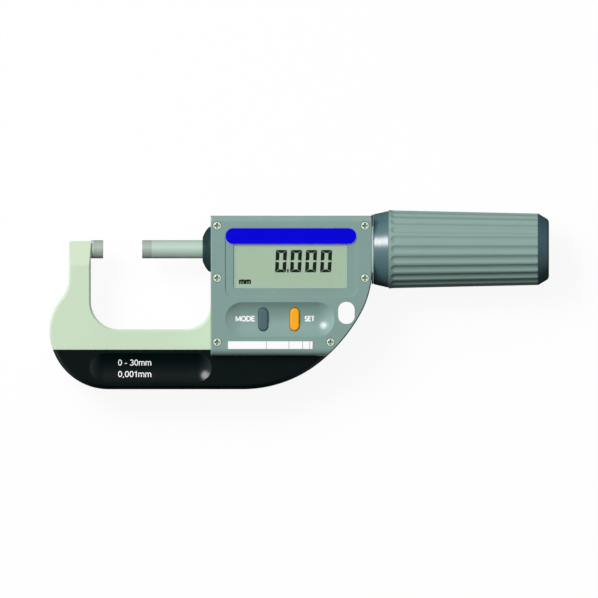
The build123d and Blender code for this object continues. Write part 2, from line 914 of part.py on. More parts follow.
with BuildPart() as battery_cover:
    with BuildSketch(Plane.XY.offset(rear_face)):
        with Locations((battery_x, battery_y)):
            Circle(flange_radius)
    extrude(amount=cover_flange_thick)
    with BuildSketch(Plane.XY.offset(flange_top)):
        with Locations((battery_x, battery_y)):
            Circle(battery_radius)
    extrude(amount=cover_plug)
    with BuildSketch(Plane.XY.offset(rear_face)):
        with Locations((battery_x, battery_y)):
            SlotOverall(coin_slot_length, coin_slot_width, rotation=coin_slot_turn)
    extrude(amount=coin_slot_depth, mode=Mode.SUBTRACT)
write(battery_cover.part, "battery_cover")

with BuildPart() as battery_seal:
    with Locations((battery_x, battery_y, flange_top + seal_section / 2)):
        Torus(battery_radius + seal_section / 2 + seat_gap, seal_section / 2)
write(battery_seal.part, "battery_cover_seal")

# Seal nut, wiper and bush round the spindle
nut_front = housing_left - nut_length
nut_bore = face_radius + nut_bore_gap
wiper_bore = face_radius + wiper_lip
wiper_start = housing_left - wiper_inset - wiper_length
wiper_radius = wiper_bore + wiper_wall
with BuildPart() as seal_nut:
    with BuildSketch(Plane.XY):
        with BuildLine():
            dome = SagittaArc(
                (nut_front, nut_bore + nut_face_wall), (housing_left, nut_base_dia / 2), nut_bulge
            )
            Polyline(
                dome @ 1,
                (housing_left, nut_spigot_radius),
                (housing_left + nut_spigot_length, nut_spigot_radius),
                (housing_left + nut_spigot_length, nut_bore),
                (nut_front, nut_bore),
                dome @ 0,
            )
        make_face()
    revolve(axis=Axis.X)
    add(
        ring(wiper_start - seat_gap, wiper_length + 2 * seat_gap, wiper_radius + seat_gap, 0),
        mode=Mode.SUBTRACT,
    )
write(seal_nut.part, "seal_nut")

with BuildPart() as wiper:
    add(ring(wiper_start, wiper_length, wiper_radius, wiper_bore))
write(wiper.part, "wiper_seal")

with BuildPart() as bush:
    add(ring(bush_start, bush_length, bush_radius, face_radius + running_gap))
write(bush.part, "spindle_bush")

# Spindle, its tip, the scale carrier and the carriage that follows the helix
carriage_x = pin_x - carriage_length / 2
sleeve_radius = sleeve_dia / 2
sleeve_bore = guide_radius + running_gap
groove_floor = sleeve_radius - sleeve_wall
groove_depth = groove_floor - sleeve_bore
pin_turn = radians(360 * (pin_x - groove_start) / lead)
pin_plane = Plane(origin=(pin_x, 0, 0), x_dir=(1, 0, 0), z_dir=(0, sin(pin_turn), cos(pin_turn)))
pin_length = groove_floor - groove_floor_gap
pin_root = spigot_dia / 2 - end_play
with BuildPart() as pin:
    with BuildSketch(pin_plane.offset(-pin_root)):
        Circle(pin_dia / 2)
    extrude(amount=pin_root + pin_length)
write(pin.part, "follower_pin")

with BuildPart(mode=Mode.PRIVATE) as pin_hole:
    with BuildSketch(pin_plane.offset(-pin_root)):
        Circle(pin_dia / 2 + seat_gap)
    extrude(amount=pin_root + pin_length)

with BuildPart() as spindle:
    rod_start = opening + tip_length
    add(ring(rod_start, carriage_x - rod_start, face_radius, 0))
    add(ring(carriage_x, spigot_length, spigot_dia / 2, 0))
    add(pin_hole.part, mode=Mode.SUBTRACT)
write(spindle.part, "spindle")

with BuildPart() as spindle_tip:
    add(ring(opening, tip_length, face_radius, 0))
write(spindle_tip.part, "spindle_carbide_tip")

with BuildPart() as carriage:
    add(
        ring(carriage_x, carriage_length, guide_bore / 2 - running_gap, spigot_dia / 2 + seat_gap)
    )
    add(pin_hole.part, mode=Mode.SUBTRACT)
write(carriage.part, "spindle_carriage")

target_top = board_base - read_head_thick - target_air
with BuildPart() as carrier:
    with BuildSketch(Plane.YZ.offset(carrier_x)):
        with Locations((0, (target_top - target_thick - carrier_depth) / 2)):
            RectangleRounded(
                carrier_width, target_top - target_thick + carrier_depth, carrier_corner
            )
        Circle(face_radius + seat_gap, mode=Mode.SUBTRACT)
    extrude(amount=carrier_length)
write(carrier.part, "scale_carrier")

with BuildPart() as target:
    with BuildSketch(Plane.XY.offset(target_top - target_thick)):
        with Locations((carrier_x + carrier_length / 2, 0)):
            Rectangle(carrier_length, target_width)
    extrude(amount=target_thick)
write(target.part, "scale_target")

# Guide tube: fixed in the frame, with the straight slot that stops the pin turning
washer_radius = sleeve_radius - washer_step
nut_start = sleeve_end + end_play + washer_thick
guide_end = nut_start + nut_thick + end_play
with BuildPart() as guide_tube:
    add(ring(slide_end, guide_end - slide_end, guide_radius, 0))
    add(ring(shoulder_start, shoulder_length, guide_radius + shoulder_step, 0))
    add(ring(slide_end, guide_end - slide_end, guide_bore / 2, 0), mode=Mode.SUBTRACT)
    slot_plane = Plane(
        origin=(pin_closed + travel / 2, 0, 0), x_dir=(1, 0, 0), z_dir=pin_plane.z_dir
    )
    with BuildSketch(slot_plane):
        SlotOverall(travel + pin_dia + 4 * pin_gap, pin_dia + 2 * pin_gap)
    extrude(amount=guide_outer, mode=Mode.SUBTRACT)
write(guide_tube.part, "guide_tube")

with BuildPart() as barrel_ring:
    add(ring(housing_right, ring_thick, ring_dia / 2, guide_radius + seat_gap))
write(barrel_ring.part, "barrel_ring")

with BuildPart() as washer_front:
    add(ring(shoulder_end, washer_thick, washer_radius, guide_radius + seat_gap))
write(washer_front.part, "thrust_washer_front")

with BuildPart() as washer_rear:
    add(ring(sleeve_end + end_play, washer_thick, washer_radius, guide_radius + seat_gap))
write(washer_rear.part, "thrust_washer_rear")

with BuildPart() as guide_nut:
    add(ring(nut_start, nut_thick, washer_radius, guide_radius + seat_gap))
write(guide_nut.part, "guide_nut")

# Lead sleeve: turns on the guide tube, with the left-hand helical groove inside
sleeve_flange_radius = sleeve_radius + flange_step
with BuildPart() as lead_sleeve:
    add(ring(sleeve_start, sleeve_end - sleeve_start, sleeve_radius, sleeve_bore))
    add(ring(sleeve_end - flange_thick, flange_thick, sleeve_flange_radius, sleeve_bore))
    with BuildLine() as groove_path:
        Helix(
            lead,
            groove_end - groove_start,
            groove_floor,
            center=(groove_start, 0, 0),
            direction=(1, 0, 0),
            lefthand=True,
        )
    groove_plane = Plane(
        origin=groove_path.line @ 0, x_dir=(0, 0, 1), z_dir=groove_path.line % 0
    )
    with BuildSketch(groove_plane):
        with Locations((-groove_depth, 0)):
            Rectangle(2 * groove_depth, pin_dia + 2 * pin_gap)
    sweep(path=groove_path.line, is_frenet=True, mode=Mode.SUBTRACT)
write(lead_sleeve.part, "lead_sleeve")

# Clutch spring: a split ring between lead sleeve and thimble that slips at measuring force
clutch_start = sleeve_start + clutch_offset
clutch_radius = sleeve_radius + clutch_depth
with BuildPart() as clutch_spring:
    add(ring(clutch_start, clutch_length, clutch_radius, sleeve_radius + seat_gap))
    with BuildSketch(Plane.YZ.offset(clutch_start)):
        with BuildLine():
            half_gap = radians(clutch_open / 2)
            far = sleeve_dia
            Polyline(
                (0, 0),
                (-far * sin(half_gap), far * cos(half_gap)),
                (far * sin(half_gap), far * cos(half_gap)),
                close=True,
            )
        make_face()
    extrude(amount=clutch_length, mode=Mode.SUBTRACT)
write(clutch_spring.part, "clutch_spring")

# Thimble core: dark collar in front, tube behind
thimble_start = shoulder_start + thimble_gap
collar_end = thimble_start + collar_length
thimble_end = thimble_start + thimble_length
grip_end = thimble_end - cap_length
core_bore = sleeve_radius + core_bore_gap
core_radius = core_bore + core_wall
flange_room = sleeve_flange_radius + cover_gap
grip_front_radius = core_radius + grip_front_wall
grip_end_radius = core_radius + grip_end_wall
with BuildPart() as core:
    add(
        turned_profile(
            (
                (thimble_start, core_bore),
                (thimble_start, core_bore + collar_front_wall),
                (collar_end, grip_front_radius),
                (collar_end, core_radius),
                (grip_end, core_radius),
                (grip_end, flange_room),
                (sleeve_end - flange_thick - end_play, flange_room),
                (sleeve_end - flange_thick - end_play, core_bore),
            )
        )
    )
    front_edge = edges().filter_by(GeomType.CIRCLE).filter_by(
        lambda edge: abs(edge.center().X - thimble_start) < seat_gap
    ).sort_by(SortBy.RADIUS)[-1]
    fillet(front_edge, collar_round)
    add(
        ring(
            clutch_start - end_play,
            clutch_length + 2 * end_play,
            clutch_radius + seat_gap,
            0,
        ),
        mode=Mode.SUBTRACT,
    )
write(core.part, "thimble_core")

# Thimble grip: tapered sleeve with ball-ended flutes
taper = (grip_front_radius - grip_end_radius) / (grip_end - collar_end)
flute_x = collar_end + flute_rim
flute_axis_radius = grip_front_radius - flute_depth + flute_radius
with BuildPart(mode=Mode.PRIVATE) as flute:
    flute_plane = Plane(
        origin=(flute_x, 0, flute_axis_radius - taper * flute_rim),
        x_dir=(0, 1, 0),
        z_dir=(1, 0, -taper),
    )
    with BuildSketch(flute_plane):
        Circle(flute_radius)
    extrude(amount=grip_end - flute_x + flute_radius)
    with Locations(flute_plane.origin):
        Sphere(flute_radius)
with BuildPart() as grip:
    add(
        turned_profile(
            (
                (collar_end, core_radius + seat_gap),
                (collar_end, grip_front_radius),
                (grip_end, grip_end_radius),
                (grip_end, core_radius + seat_gap),
            )
        )
    )
    for index in range(flute_count):
        turned = flute.part.rotate(Axis.X, 360 * index / flute_count)
        add(turned, mode=Mode.SUBTRACT)
write(grip.part, "thimble_grip")

# Thimble cap: closes the end, its spigot holds the lead sleeve's flange
spigot_radius = flange_room - seat_gap
with BuildPart() as cap:
    add(
        turned_profile(
            (
                (sleeve_end + end_play, spigot_radius - cap_spigot_wall),
                (sleeve_end + end_play, spigot_radius),
                (grip_end, spigot_radius),
                (grip_end, grip_end_radius),
                (thimble_end, grip_end_radius - cap_face_step),
                (thimble_end, 0),
                (grip_end, 0),
                (grip_end, spigot_radius - cap_spigot_wall),
            )
        )
    )
    back_edge = edges().filter_by(GeomType.CIRCLE).group_by(Axis.X)[-1]
    fillet(back_edge, cap_round)
write(cap.part, "thimble_cap")
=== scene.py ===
"""Looks of a digital outside micrometer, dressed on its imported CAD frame.

Metres, in the frame's own axes: X runs along the measuring line towards the thimble,
Y up across the frame and Z out of the display side.
"""

import logging
import math
from abc import ABC, abstractmethod
from dataclasses import dataclass
from enum import Enum
from functools import cache

import bmesh
import bpy
import numpy as np
from mathutils import Matrix, Vector
from mathutils.bvhtree import BVHTree


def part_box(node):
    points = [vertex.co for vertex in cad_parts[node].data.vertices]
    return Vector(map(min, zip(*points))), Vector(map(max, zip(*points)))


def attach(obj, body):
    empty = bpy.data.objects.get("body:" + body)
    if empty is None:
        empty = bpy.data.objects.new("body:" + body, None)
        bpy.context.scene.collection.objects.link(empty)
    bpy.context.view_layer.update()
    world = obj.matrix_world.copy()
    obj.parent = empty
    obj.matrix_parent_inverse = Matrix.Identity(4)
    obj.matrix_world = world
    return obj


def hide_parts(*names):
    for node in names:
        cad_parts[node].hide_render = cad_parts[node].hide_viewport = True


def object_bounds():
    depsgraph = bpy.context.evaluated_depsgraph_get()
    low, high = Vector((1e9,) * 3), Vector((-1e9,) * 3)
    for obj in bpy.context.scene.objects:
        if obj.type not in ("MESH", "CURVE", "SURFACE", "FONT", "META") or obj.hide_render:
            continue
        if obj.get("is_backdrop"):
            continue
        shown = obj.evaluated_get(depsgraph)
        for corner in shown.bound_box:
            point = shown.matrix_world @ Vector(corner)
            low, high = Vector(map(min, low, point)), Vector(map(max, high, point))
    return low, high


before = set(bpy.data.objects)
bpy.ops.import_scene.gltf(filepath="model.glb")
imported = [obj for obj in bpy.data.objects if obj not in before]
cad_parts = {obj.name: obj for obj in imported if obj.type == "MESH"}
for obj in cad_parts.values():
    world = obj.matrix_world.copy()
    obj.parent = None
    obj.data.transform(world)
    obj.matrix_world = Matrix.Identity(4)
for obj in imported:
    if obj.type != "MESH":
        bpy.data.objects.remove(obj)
LOG = logging.getLogger("micrometer")
MM = 0.001
MICRON = 0.000001
BLACK = (0.0, 0.0, 0.0)

# Octaves of the noise in soft blotches, in turned lines and in fine pits.
COARSE_DETAIL = 3.0
LINE_DETAIL = 4.0
FINE_DETAIL = 6.0

# Rays with which light rolls over an edge, and degrees from which an edge stays sharp.
BEVEL_SAMPLES = 6
SHARP_ANGLE = 35.0

# Degrees between the points of a letter's arc, and the fewest points that it has.
ARC_STEP = 15.0
ARC_LEAST = 3

# Steps in a stroke as long as a capital is high, and share of a print's thickness
# that lies in the surface.
LETTER_STEPS = 6
PRINT_SUNK = 0.25

Colour = tuple[float, float, float]
Direction = tuple[float, float, float]
Point = tuple[float, float]


class Sum(Enum):
    """Operations of the Math nodes that expressions add."""

    ADD = "ADD"
    SUBTRACT = "SUBTRACT"
    MULTIPLY = "MULTIPLY"
    MAXIMUM = "MAXIMUM"
    GREATER = "GREATER_THAN"


class Axis(Enum):
    """Axis of the frame that lines or a seam follow."""

    X = "X"
    Y = "Y"


class Ray(Enum):
    """Kinds of ray that a background tells apart."""

    CAMERA = "Is Camera Ray"
    GLOSSY = "Is Glossy Ray"
    SHADOW = "Is Shadow Ray"
    THROUGH = "Is Transmission Ray"


class Side(Enum):
    """Side of the instrument that a screw's head looks out of."""

    FRONT = "front"
    BACK = "back"


class Socket:
    """Output socket of a node; an expression on it adds Math nodes to its tree."""

    def __init__(self, tree: "Tree", end: bpy.types.NodeSocket) -> None:
        """Keep the tree and the socket."""
        self.tree = tree
        self.end = end

    def __add__(self, other: "Socket | float") -> "Socket":
        """Add a socket or a number."""
        return self.tree.sum(Sum.ADD, self, other)

    __radd__ = __add__

    def __sub__(self, other: "Socket | float") -> "Socket":
        """Take away a socket or a number."""
        return self.tree.sum(Sum.SUBTRACT, self, other)

    def __rsub__(self, other: float) -> "Socket":
        """Take this socket away from a number."""
        return self.tree.sum(Sum.SUBTRACT, other, self)

    def __mul__(self, other: "Socket | float") -> "Socket":
        """Multiply by a socket or a number."""
        return self.tree.sum(Sum.MULTIPLY, self, other)

    __rmul__ = __mul__

    def __gt__(self, other: "Socket | float") -> "Socket":
        """One where this socket is above a socket or a number, otherwise zero."""
        return self.tree.sum(Sum.GREATER, self, other)

    def __or__(self, other: "Socket | float") -> "Socket":
        """Larger of two masks."""
        return self.tree.sum(Sum.MAXIMUM, self, other)

    __ror__ = __or__


class Tree:
    """Node tree of a material or of the world, filled through one method."""

    def __init__(self, owner: bpy.types.Material | bpy.types.World) -> None:
        """Switch the owner to nodes and empty its tree.

        Args:
            owner: material or world that holds the tree.
        """
        owner.use_nodes = True
        self.nodes = owner.node_tree
        self.nodes.nodes.clear()

    @staticmethod
    def pick(ends: bpy.types.bpy_prop_collection, key: str | int) -> bpy.types.NodeSocket:
        """Find a socket by its number, its identifier or its name.

        Args:
            ends: inputs or outputs of a node.
            key: number, identifier or name of the socket.

        Returns:
            The socket.
        """
        if isinstance(key, int):
            return ends[key]
        known = {end.identifier: end for end in ends}
        return known.get(key) or ends[key]

    def node(
        self,
        kind: str,
        settings: dict | None = None,
        inputs: dict | None = None,
        output: str | int = 0,
    ) -> Socket | None:
        """Add a node, set it and feed its sockets.

        Args:
            kind: Blender's type name of the node.
            settings: properties of the node.
            inputs: number, colour or Socket for each input, by name, identifier or number.
            output: output to hand back.

        Returns:
            The chosen output, or None from a node without outputs.
        """
        made = self.nodes.nodes.new(kind)
        for key, value in (settings or {}).items():
            setattr(made, key, value)
        for key, value in (inputs or {}).items():
            end = self.pick(made.inputs, key)
            if isinstance(value, Socket):
                self.nodes.links.new(value.end, end)
            else:
                end.default_value = value
        return Socket(self, self.pick(made.outputs, output)) if made.outputs else None

    def sum(self, operation: Sum, first: Socket | float, second: Socket | float) -> Socket:
        """Math node on two values.

        Args:
            operation: what the node works out.
            first: first value or socket.
            second: second value or socket.

        Returns:
            The result's socket.
        """
        return self.node("ShaderNodeMath", {"operation": operation.value}, {0: first, 1: second})

    def mix(self, factor: Socket | float, first: object, second: object) -> Socket:
        """Blend two colours.

        Args:
            factor: share of the second colour.
            first: colour or socket at factor 0.
            second: colour or socket at factor 1.

        Returns:
            The blended colour.
        """
        return self.node(
            "ShaderNodeMix",
            {"data_type": "RGBA"},
            {"Factor_Float": factor, "A_Color": first, "B_Color": second},
            "Result_Color",
        )

    def along(self, axis: Axis) -> Socket:
        """Coordinate of the point along an axis of the frame, in metres."""
        place = self.node("ShaderNodeTexCoord", output="Object")
        return self.node("ShaderNodeSeparateXYZ", inputs={0: place}, output=axis.value)

    def cloud(self, size: float, detail: float = COARSE_DETAIL) -> Socket:
        """Noise in space, from 0 to 1.

        Args:
            size: size of its blotches in metres.
            detail: octaves of finer noise.

        Returns:
            The noise.
        """
        place = self.node("ShaderNodeTexCoord", output="Object")
        return self.node(
            "ShaderNodeTexNoise", inputs={"Vector": place, "Scale": 1 / size, "Detail": detail}
        )

    def lines(self, axis: Axis, pitch: float) -> Socket:
        """Noise that changes along one axis only, as fine turned or ground lines do.

        Args:
            axis: axis across the lines.
            pitch: distance between lines in metres.

        Returns:
            The noise, from 0 to 1.
        """
        return self.node(
            "ShaderNodeTexNoise",
            {"noise_dimensions": "1D"},
            {"W": self.along(axis), "Scale": 1 / pitch, "Detail": LINE_DETAIL},
        )


def linear(colour: Colour, share: float = 1.0) -> tuple[float, float, float, float]:
    """Linear RGBA of an sRGB colour given from 0 to 255.

    Args:
        colour: red, green and blue as a screen shows them.
        share: factor on the linear value.

    Returns:
        Red, green, blue and alpha.
    """
    values = []
    for part in colour:
        level = part / 255
        value = level / 12.92 if level <= 0.04045 else ((level + 0.055) / 1.055) ** 2.4
        values.append(min(1.0, value * share))
    return (*values, 1.0)


@dataclass(frozen=True)
class Finish:
    """Finish with a slightly uneven colour, uneven gloss and a fine relief.

    Attributes:
        name: name of the material.
        colour: sRGB colour from 0 to 255.
        roughness: middle roughness.
        metallic: share of metal reflection.
        gloss: specular level of the surface.
        mottle: share by which the colour varies.
        mottle_size: size of the colour's blotches.
        grain: height of the relief.
        grain_size: size of the relief.
        edge: radius with which light rolls over the edges.
        alpha: share of the surface that is seen.
        spread: share by which the roughness varies.
    """

    name: str
    colour: Colour
    roughness: float = 0.5
    metallic: float = 0.0
    gloss: float = 0.3
    mottle: float = 0.05
    mottle_size: float = 9 * MM
    grain: float = 4 * MICRON
    grain_size: float = 0.5 * MM
    edge: float = 0.12 * MM
    alpha: float = 1.0
    spread: float = 0.3

    def tint(self, tree: Tree) -> Socket:
        """Colour over the surface.

        Args:
            tree: node tree of the material.

        Returns:
            The colour.
        """
        dark = linear(self.colour, 1 - self.mottle)
        light = linear(self.colour, 1 + self.mottle)
        return tree.mix(tree.cloud(self.mottle_size), dark, light)

    def height(self, tree: Tree) -> Socket:
        """Relief over the surface, from 0 to 1."""
        return tree.cloud(self.grain_size)

    def polish(self, tree: Tree) -> Socket:
        """Roughness over the surface."""
        change = self.roughness * self.spread
        return tree.cloud(self.mottle_size / 2) * change + (self.roughness - change / 2)

    @cache
    def material(self) -> bpy.types.Material:
        """Material of the finish, made once.

        Returns:
            The material with all its nodes.
        """
        made = bpy.data.materials.new(self.name)
        tree = Tree(made)
        rolled = tree.node("ShaderNodeBevel", {"samples": BEVEL_SAMPLES}, {"Radius": self.edge})
        normal = tree.node(
            "ShaderNodeBump",
            inputs={"Height": self.height(tree), "Distance": self.grain, "Normal": rolled},
        )
        shader = tree.node(
            "ShaderNodeBsdfPrincipled",
            inputs={
                "Base Color": self.tint(tree),
                "Roughness": self.polish(tree),
                "Metallic": self.metallic,
                "Specular IOR Level": self.gloss,
                "Alpha": self.alpha,
                "Normal": normal,
            },
        )
        tree.node("ShaderNodeOutputMaterial", inputs={"Surface": shader})
        return made


@dataclass(frozen=True)
class Enamel(Finish):
    """Sprayed enamel with painted light: the end of the anvil arm is painted paler for the light
    that its tapered tip catches.

    Attributes:
        pale: colour of the arm's end, a painted highlight.
        seam: height across the frame at which the painted highlight begins.
    """

    pale: Colour = (213, 230, 203)
    seam: float = -5.86 * MM

    def tint(self, tree: Tree) -> Socket:
        """Colour over the surface, painted paler beyond the seam for the light on the arm's
        tapered tip.

        Args:
            tree: node tree of the material.

        Returns:
            The colour.
        """
        # Painted highlight: beyond the seam, the arm's tip is painted paler for the light that
        # falls on its taper.
        inside = tree.along(Axis.Y) > self.seam
        lit_tip = tree.mix(inside, linear(self.colour), linear(self.pale))
        return tree.mix(tree.cloud(self.mottle_size) * self.mottle, lit_tip, linear(BLACK))


@dataclass(frozen=True)
class Moulded(Finish):
    """Moulded plastic with the fine spark texture of its tool.

    Attributes:
        pits: share of the relief that sharp small pits have; the rest is a softer swell.
        swell: size of that swell, in sizes of the relief.
    """

    pits: float = 0.7
    swell: float = 4.0

    def height(self, tree: Tree) -> Socket:
        """Sharp small pits on a softer swell."""
        fine = tree.cloud(self.grain_size, FINE_DETAIL)
        return fine * self.pits + tree.cloud(self.swell * self.grain_size) * (1 - self.pits)


@dataclass(frozen=True)
class Turned(Finish):
    """Turned or ground metal with fine lines across the measuring line.

    Attributes:
        pitch: distance between the lines.
        line: share by which the lines change the colour.
    """

    pitch: float = 0.25 * MM
    line: float = 0.1

    def tint(self, tree: Tree) -> Socket:
        """Colour with the lines in it.

        Args:
            tree: node tree of the material.

        Returns:
            The colour.
        """
        dark = linear(self.colour, 1 - self.line)
        light = linear(self.colour, 1 + self.line)
        return tree.mix(tree.lines(Axis.X, self.pitch), dark, light)

    def height(self, tree: Tree) -> Socket:
        """Lines as relief."""
        return tree.lines(Axis.X, self.pitch)


class Palette:
    """Finishes of the instrument."""

    enamel = Enamel(
        "enamel_cream", (207, 228, 199), 0.3, gloss=0.6, grain=6 * MICRON, grain_size=0.9 * MM
    )
    cover = Moulded(
        "plastic_grey", (131, 161, 155), 0.26, gloss=0.8, grain=8 * MICRON, grain_size=0.2 * MM
    )
    shell = Moulded("plastic_black", (16, 25, 26), 0.5, gloss=0.08, grain=8 * MICRON)
    grip = Moulded("plastic_grip", (1, 14, 15), 0.2, gloss=0.35, grain=6 * MICRON)
    band = Finish("lacquer_blue", (5, 2, 218), 0.35, gloss=0.03, mottle=0.03)
    rim = Finish("lacquer_rim", (176, 178, 232), 0.4, gloss=0.2)
    ink = Finish("ink_white", (255, 255, 255), 0.5, gloss=0.2, mottle=0.02)
    plate = Finish("window_plate", (206, 220, 212), 0.1, gloss=0.5, alpha=0.01, mottle=0.02)
    cell = Finish("cell_face", (168, 192, 166), 0.4, gloss=0.1, mottle=0.02)
    # Painted sheen: a paler bluish border behind the window's edge stands in for the light that
    # the glass edge throws.
    glass_edge_sheen = Finish("cell_glass_edge_sheen", (163, 190, 176), 0.4, gloss=0.1, mottle=0.02)
    segment = Finish("cell_ink", (4, 9, 8), 0.5, gloss=0.03)
    key_dark = Moulded("key_slate", (79, 105, 107), 0.4, gloss=0.15)
    key_orange = Moulded("key_orange", (251, 172, 34), 0.4, gloss=0.1)
    steel = Turned("steel_ground", (187, 210, 197), 0.3, metallic=0.1, line=0.05)
    base = Turned("steel_turned", (210, 228, 210), 0.35, metallic=0.1, line=0.1)
    bright = Turned("steel_bright", (240, 255, 255), 0.15, metallic=1.0, line=0.02, edge=0.02 * MM)
    carbide = Turned(
        "carbide_lapped", (170, 183, 174), 0.35, metallic=0.1, pitch=0.5 * MM, line=0.14
    )
    screw = Finish("steel_screw", (225, 240, 218), 0.35, metallic=0.2, gloss=0.3)
    # Painted shade: the screws' cross recesses are coloured darker than the heads, for the shade
    # that falls inside them.
    recess = Finish("steel_recess_painted_shade", (165, 184, 169), 0.6, gloss=0.1)
    nut = Turned("nut_oxide", (34, 58, 60), 0.4, gloss=0.1, line=0.1)
    slate = Turned("thimble_oxide", (77, 111, 117), 0.27, gloss=1.0, line=0.06)
    cap = Turned("cap_oxide", (68, 96, 103), 0.4, gloss=0.2, line=0.06)
    satin = Finish("grip_satin", (136, 163, 156), 0.5, gloss=0.2, mottle=0.04)
    board = Finish("board_resist", (22, 74, 48), 0.4, gloss=0.5, mottle=0.1)
    brass = Turned("brass_turned", (196, 160, 84), 0.35, metallic=0.9)
    rubber = Finish("seal_rubber", (26, 26, 26), 0.8, gloss=0.2)
    leaf = Turned("leaf_steel", (120, 122, 124), 0.3, metallic=0.9)


@dataclass(frozen=True)
class Place:
    """Box that a CAD node takes up at rest.

    Attributes:
        low: lowest corner.
        high: highest corner.
    """

    low: Vector
    high: Vector

    @classmethod
    def of(cls, node: str) -> "Place":
        """Box of a node."""
        return cls(*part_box(node))

    @property
    def middle(self) -> Vector:
        """Centre of the box."""
        return (self.low + self.high) / 2

    @property
    def radius(self) -> float:
        """Half of its extent across the measuring line."""
        return (self.high.y - self.low.y) / 2


def dress(finish: Finish, *names: str) -> None:
    """Give CAD nodes a finish.

    Args:
        finish: finish to wear.
        names: names of the nodes.
    """
    for name in names:
        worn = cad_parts[name].data.materials
        worn.clear()
        worn.append(finish.material())
        LOG.info("dressed %s in %s", name, finish.name)


def piece(
    mesh: bpy.types.Mesh,
    finish: Finish,
    body: str,
    slot: str,
    *replaced: str,
    inner: Finish | None = None,
) -> bpy.types.Object:
    """Put a mesh in the scene as a piece that rides on a body.

    Args:
        mesh: mesh in the frame's axes, named as the piece.
        finish: finish to wear.
        body: CAD body that carries it.
        slot: not used.
        replaced: CAD nodes that it stands for.
        inner: finish of the faces that are marked as a recess, if it has them; it is darker, a
            painted shade for the shade in the recess.

    Returns:
        The new object.
    """
    made = bpy.data.objects.new(mesh.name, mesh)
    bpy.context.scene.collection.objects.link(made)
    mesh.materials.append(finish.material())
    if inner:
        mesh.materials.append(inner.material())
    mesh.shade_smooth()
    mesh.set_sharp_from_angle(angle=math.radians(SHARP_ANGLE))
    even = made.modifiers.new("even normals", "WEIGHTED_NORMAL")
    even.keep_sharp = True
    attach(made, body)
    if replaced:
        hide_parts(*replaced)
    LOG.info("built %s with %d faces", made.name, len(mesh.polygons))
    return made


def mesh_of(name: str, points: np.ndarray, faces: list) -> bpy.types.Mesh:
    """Mesh from points and faces, with its faces turned outwards.

    Args:
        name: name of the piece.
        points: rows of x, y and z.
        faces: lists of point numbers.

    Returns:
        The mesh.
    """
    mesh = bpy.data.meshes.new(name)
    mesh.from_pydata(points.tolist(), [], faces)
    build = bmesh.new()
    build.from_mesh(mesh)
    bmesh.ops.recalc_face_normals(build, faces=build.faces)
    build.to_mesh(mesh)
    build.free()
    return mesh


def skin(name: str, rings: np.ndarray, looped: bool) -> bpy.types.Mesh:
    """Skin over rings of points that have as many points each.

    Args:
        name: name of the piece.
        rings: array of rings, points and coordinates.
        looped: join the last ring to the first; otherwise both ends are closed by a face.

    Returns:
        The mesh.
    """
    count, sides, _ = rings.shape
    faces = []
    for ring in range(count if looped else count - 1):
        after = (ring + 1) % count
        for side in range(sides):
            beside = (side + 1) % sides
            faces.append(
                [
                    ring * sides + side,
                    ring * sides + beside,
                    after * sides + beside,
                    after * sides + side,
                ]
            )
    if not looped:
        faces.append(list(range(sides)))
        faces.append(list(range((count - 1) * sides, count * sides)))
    return mesh_of(name, rings.reshape(-1, 3), faces)


@dataclass(frozen=True)
class Corner:
    """Corner of a turned outline.

    Attributes:
        x: place along the measuring line.
        radius: distance from the measuring line.
        round: how far from the corner its rounding begins.
    """

    x: float
    radius: float
    round: float = 0.0


def rounded(corners: list[Corner], steps: int = 6) -> list[Point]:
    """Points of an outline whose corners are rounded off.

    Args:
        corners: corners in order, of an outline that returns to its first corner.
        steps: facets in each rounding.

    Returns:
        Pairs of x and radius.
    """
    points = []
    for index, corner in enumerate(corners):
        here = Vector((corner.x, corner.radius))
        before = corners[index - 1]
        after = corners[(index + 1) % len(corners)]
        if not corner.round:
            points.append(tuple(here))
            continue
        start = here + (Vector((before.x, before.radius)) - here).normalized() * corner.round
        end = here + (Vector((after.x, after.radius)) - here).normalized() * corner.round
        for step in range(steps + 1):
            part = step / steps
            curve = start * (1 - part) ** 2 + here * 2 * part * (1 - part) + end * part**2
            points.append(tuple(curve))
    return points


def turned(
    name: str, outline: list[Point], looped: bool = True, sides: int = 128
) -> bpy.types.Mesh:
    """Mesh turned about the measuring line.

    Args:
        name: name of the piece.
        outline: pairs of x and radius.
        looped: the outline returns to its first point, as on a sleeve.
        sides: facets round the axis.

    Returns:
        The mesh.
    """
    turns = np.arange(sides) * 2 * math.pi / sides
    rings = np.array(
        [
            np.column_stack(
                (np.full(sides, x), radius * np.sin(turns), radius * np.cos(turns))
            )
            for x, radius in outline
        ]
    )
    return skin(name, rings, looped)


def slab(name: str, polygons: list[list[Point]], low: float, high: float) -> bpy.types.Mesh:
    """Flat prisms that stand on a level.

    Args:
        name: name of the piece.
        polygons: outlines in the XY plane.
        low: level of their undersides.
        high: level of their tops.

    Returns:
        One mesh with all of them.
    """
    points = []
    faces = []
    for polygon in polygons:
        first = len(points)
        count = len(polygon)
        points += [(x, y, low) for x, y in polygon]
        points += [(x, y, high) for x, y in polygon]
        faces.append([first + index for index in range(count)])
        faces.append([first + count + index for index in range(count)])
        for index in range(count):
            beside = (index + 1) % count
            faces.append(
                [first + index, first + beside, first + count + beside, first + count + index]
            )
    return mesh_of(name, np.array(points), faces)


def loop(
    centre: Point, width: float, height: float, radius: float, steps: int = 16
) -> np.ndarray:
    """Rounded rectangle as a ring of points.

    Args:
        centre: its centre.
        width: its extent along X.
        height: its extent along Y.
        radius: radius of its corners.
        steps: facets in each corner.

    Returns:
        Array of points and two coordinates.
    """
    points = []
    for quarter, (across, up) in enumerate(((1, 1), (-1, 1), (-1, -1), (1, -1))):
        middle = (
            centre[0] + across * (width / 2 - radius),
            centre[1] + up * (height / 2 - radius),
        )
        for step in range(steps + 1):
            turn = math.radians(90 * (quarter + step / steps))
            points.append(
                (middle[0] + radius * math.cos(turn), middle[1] + radius * math.sin(turn))
            )
    return np.array(points)


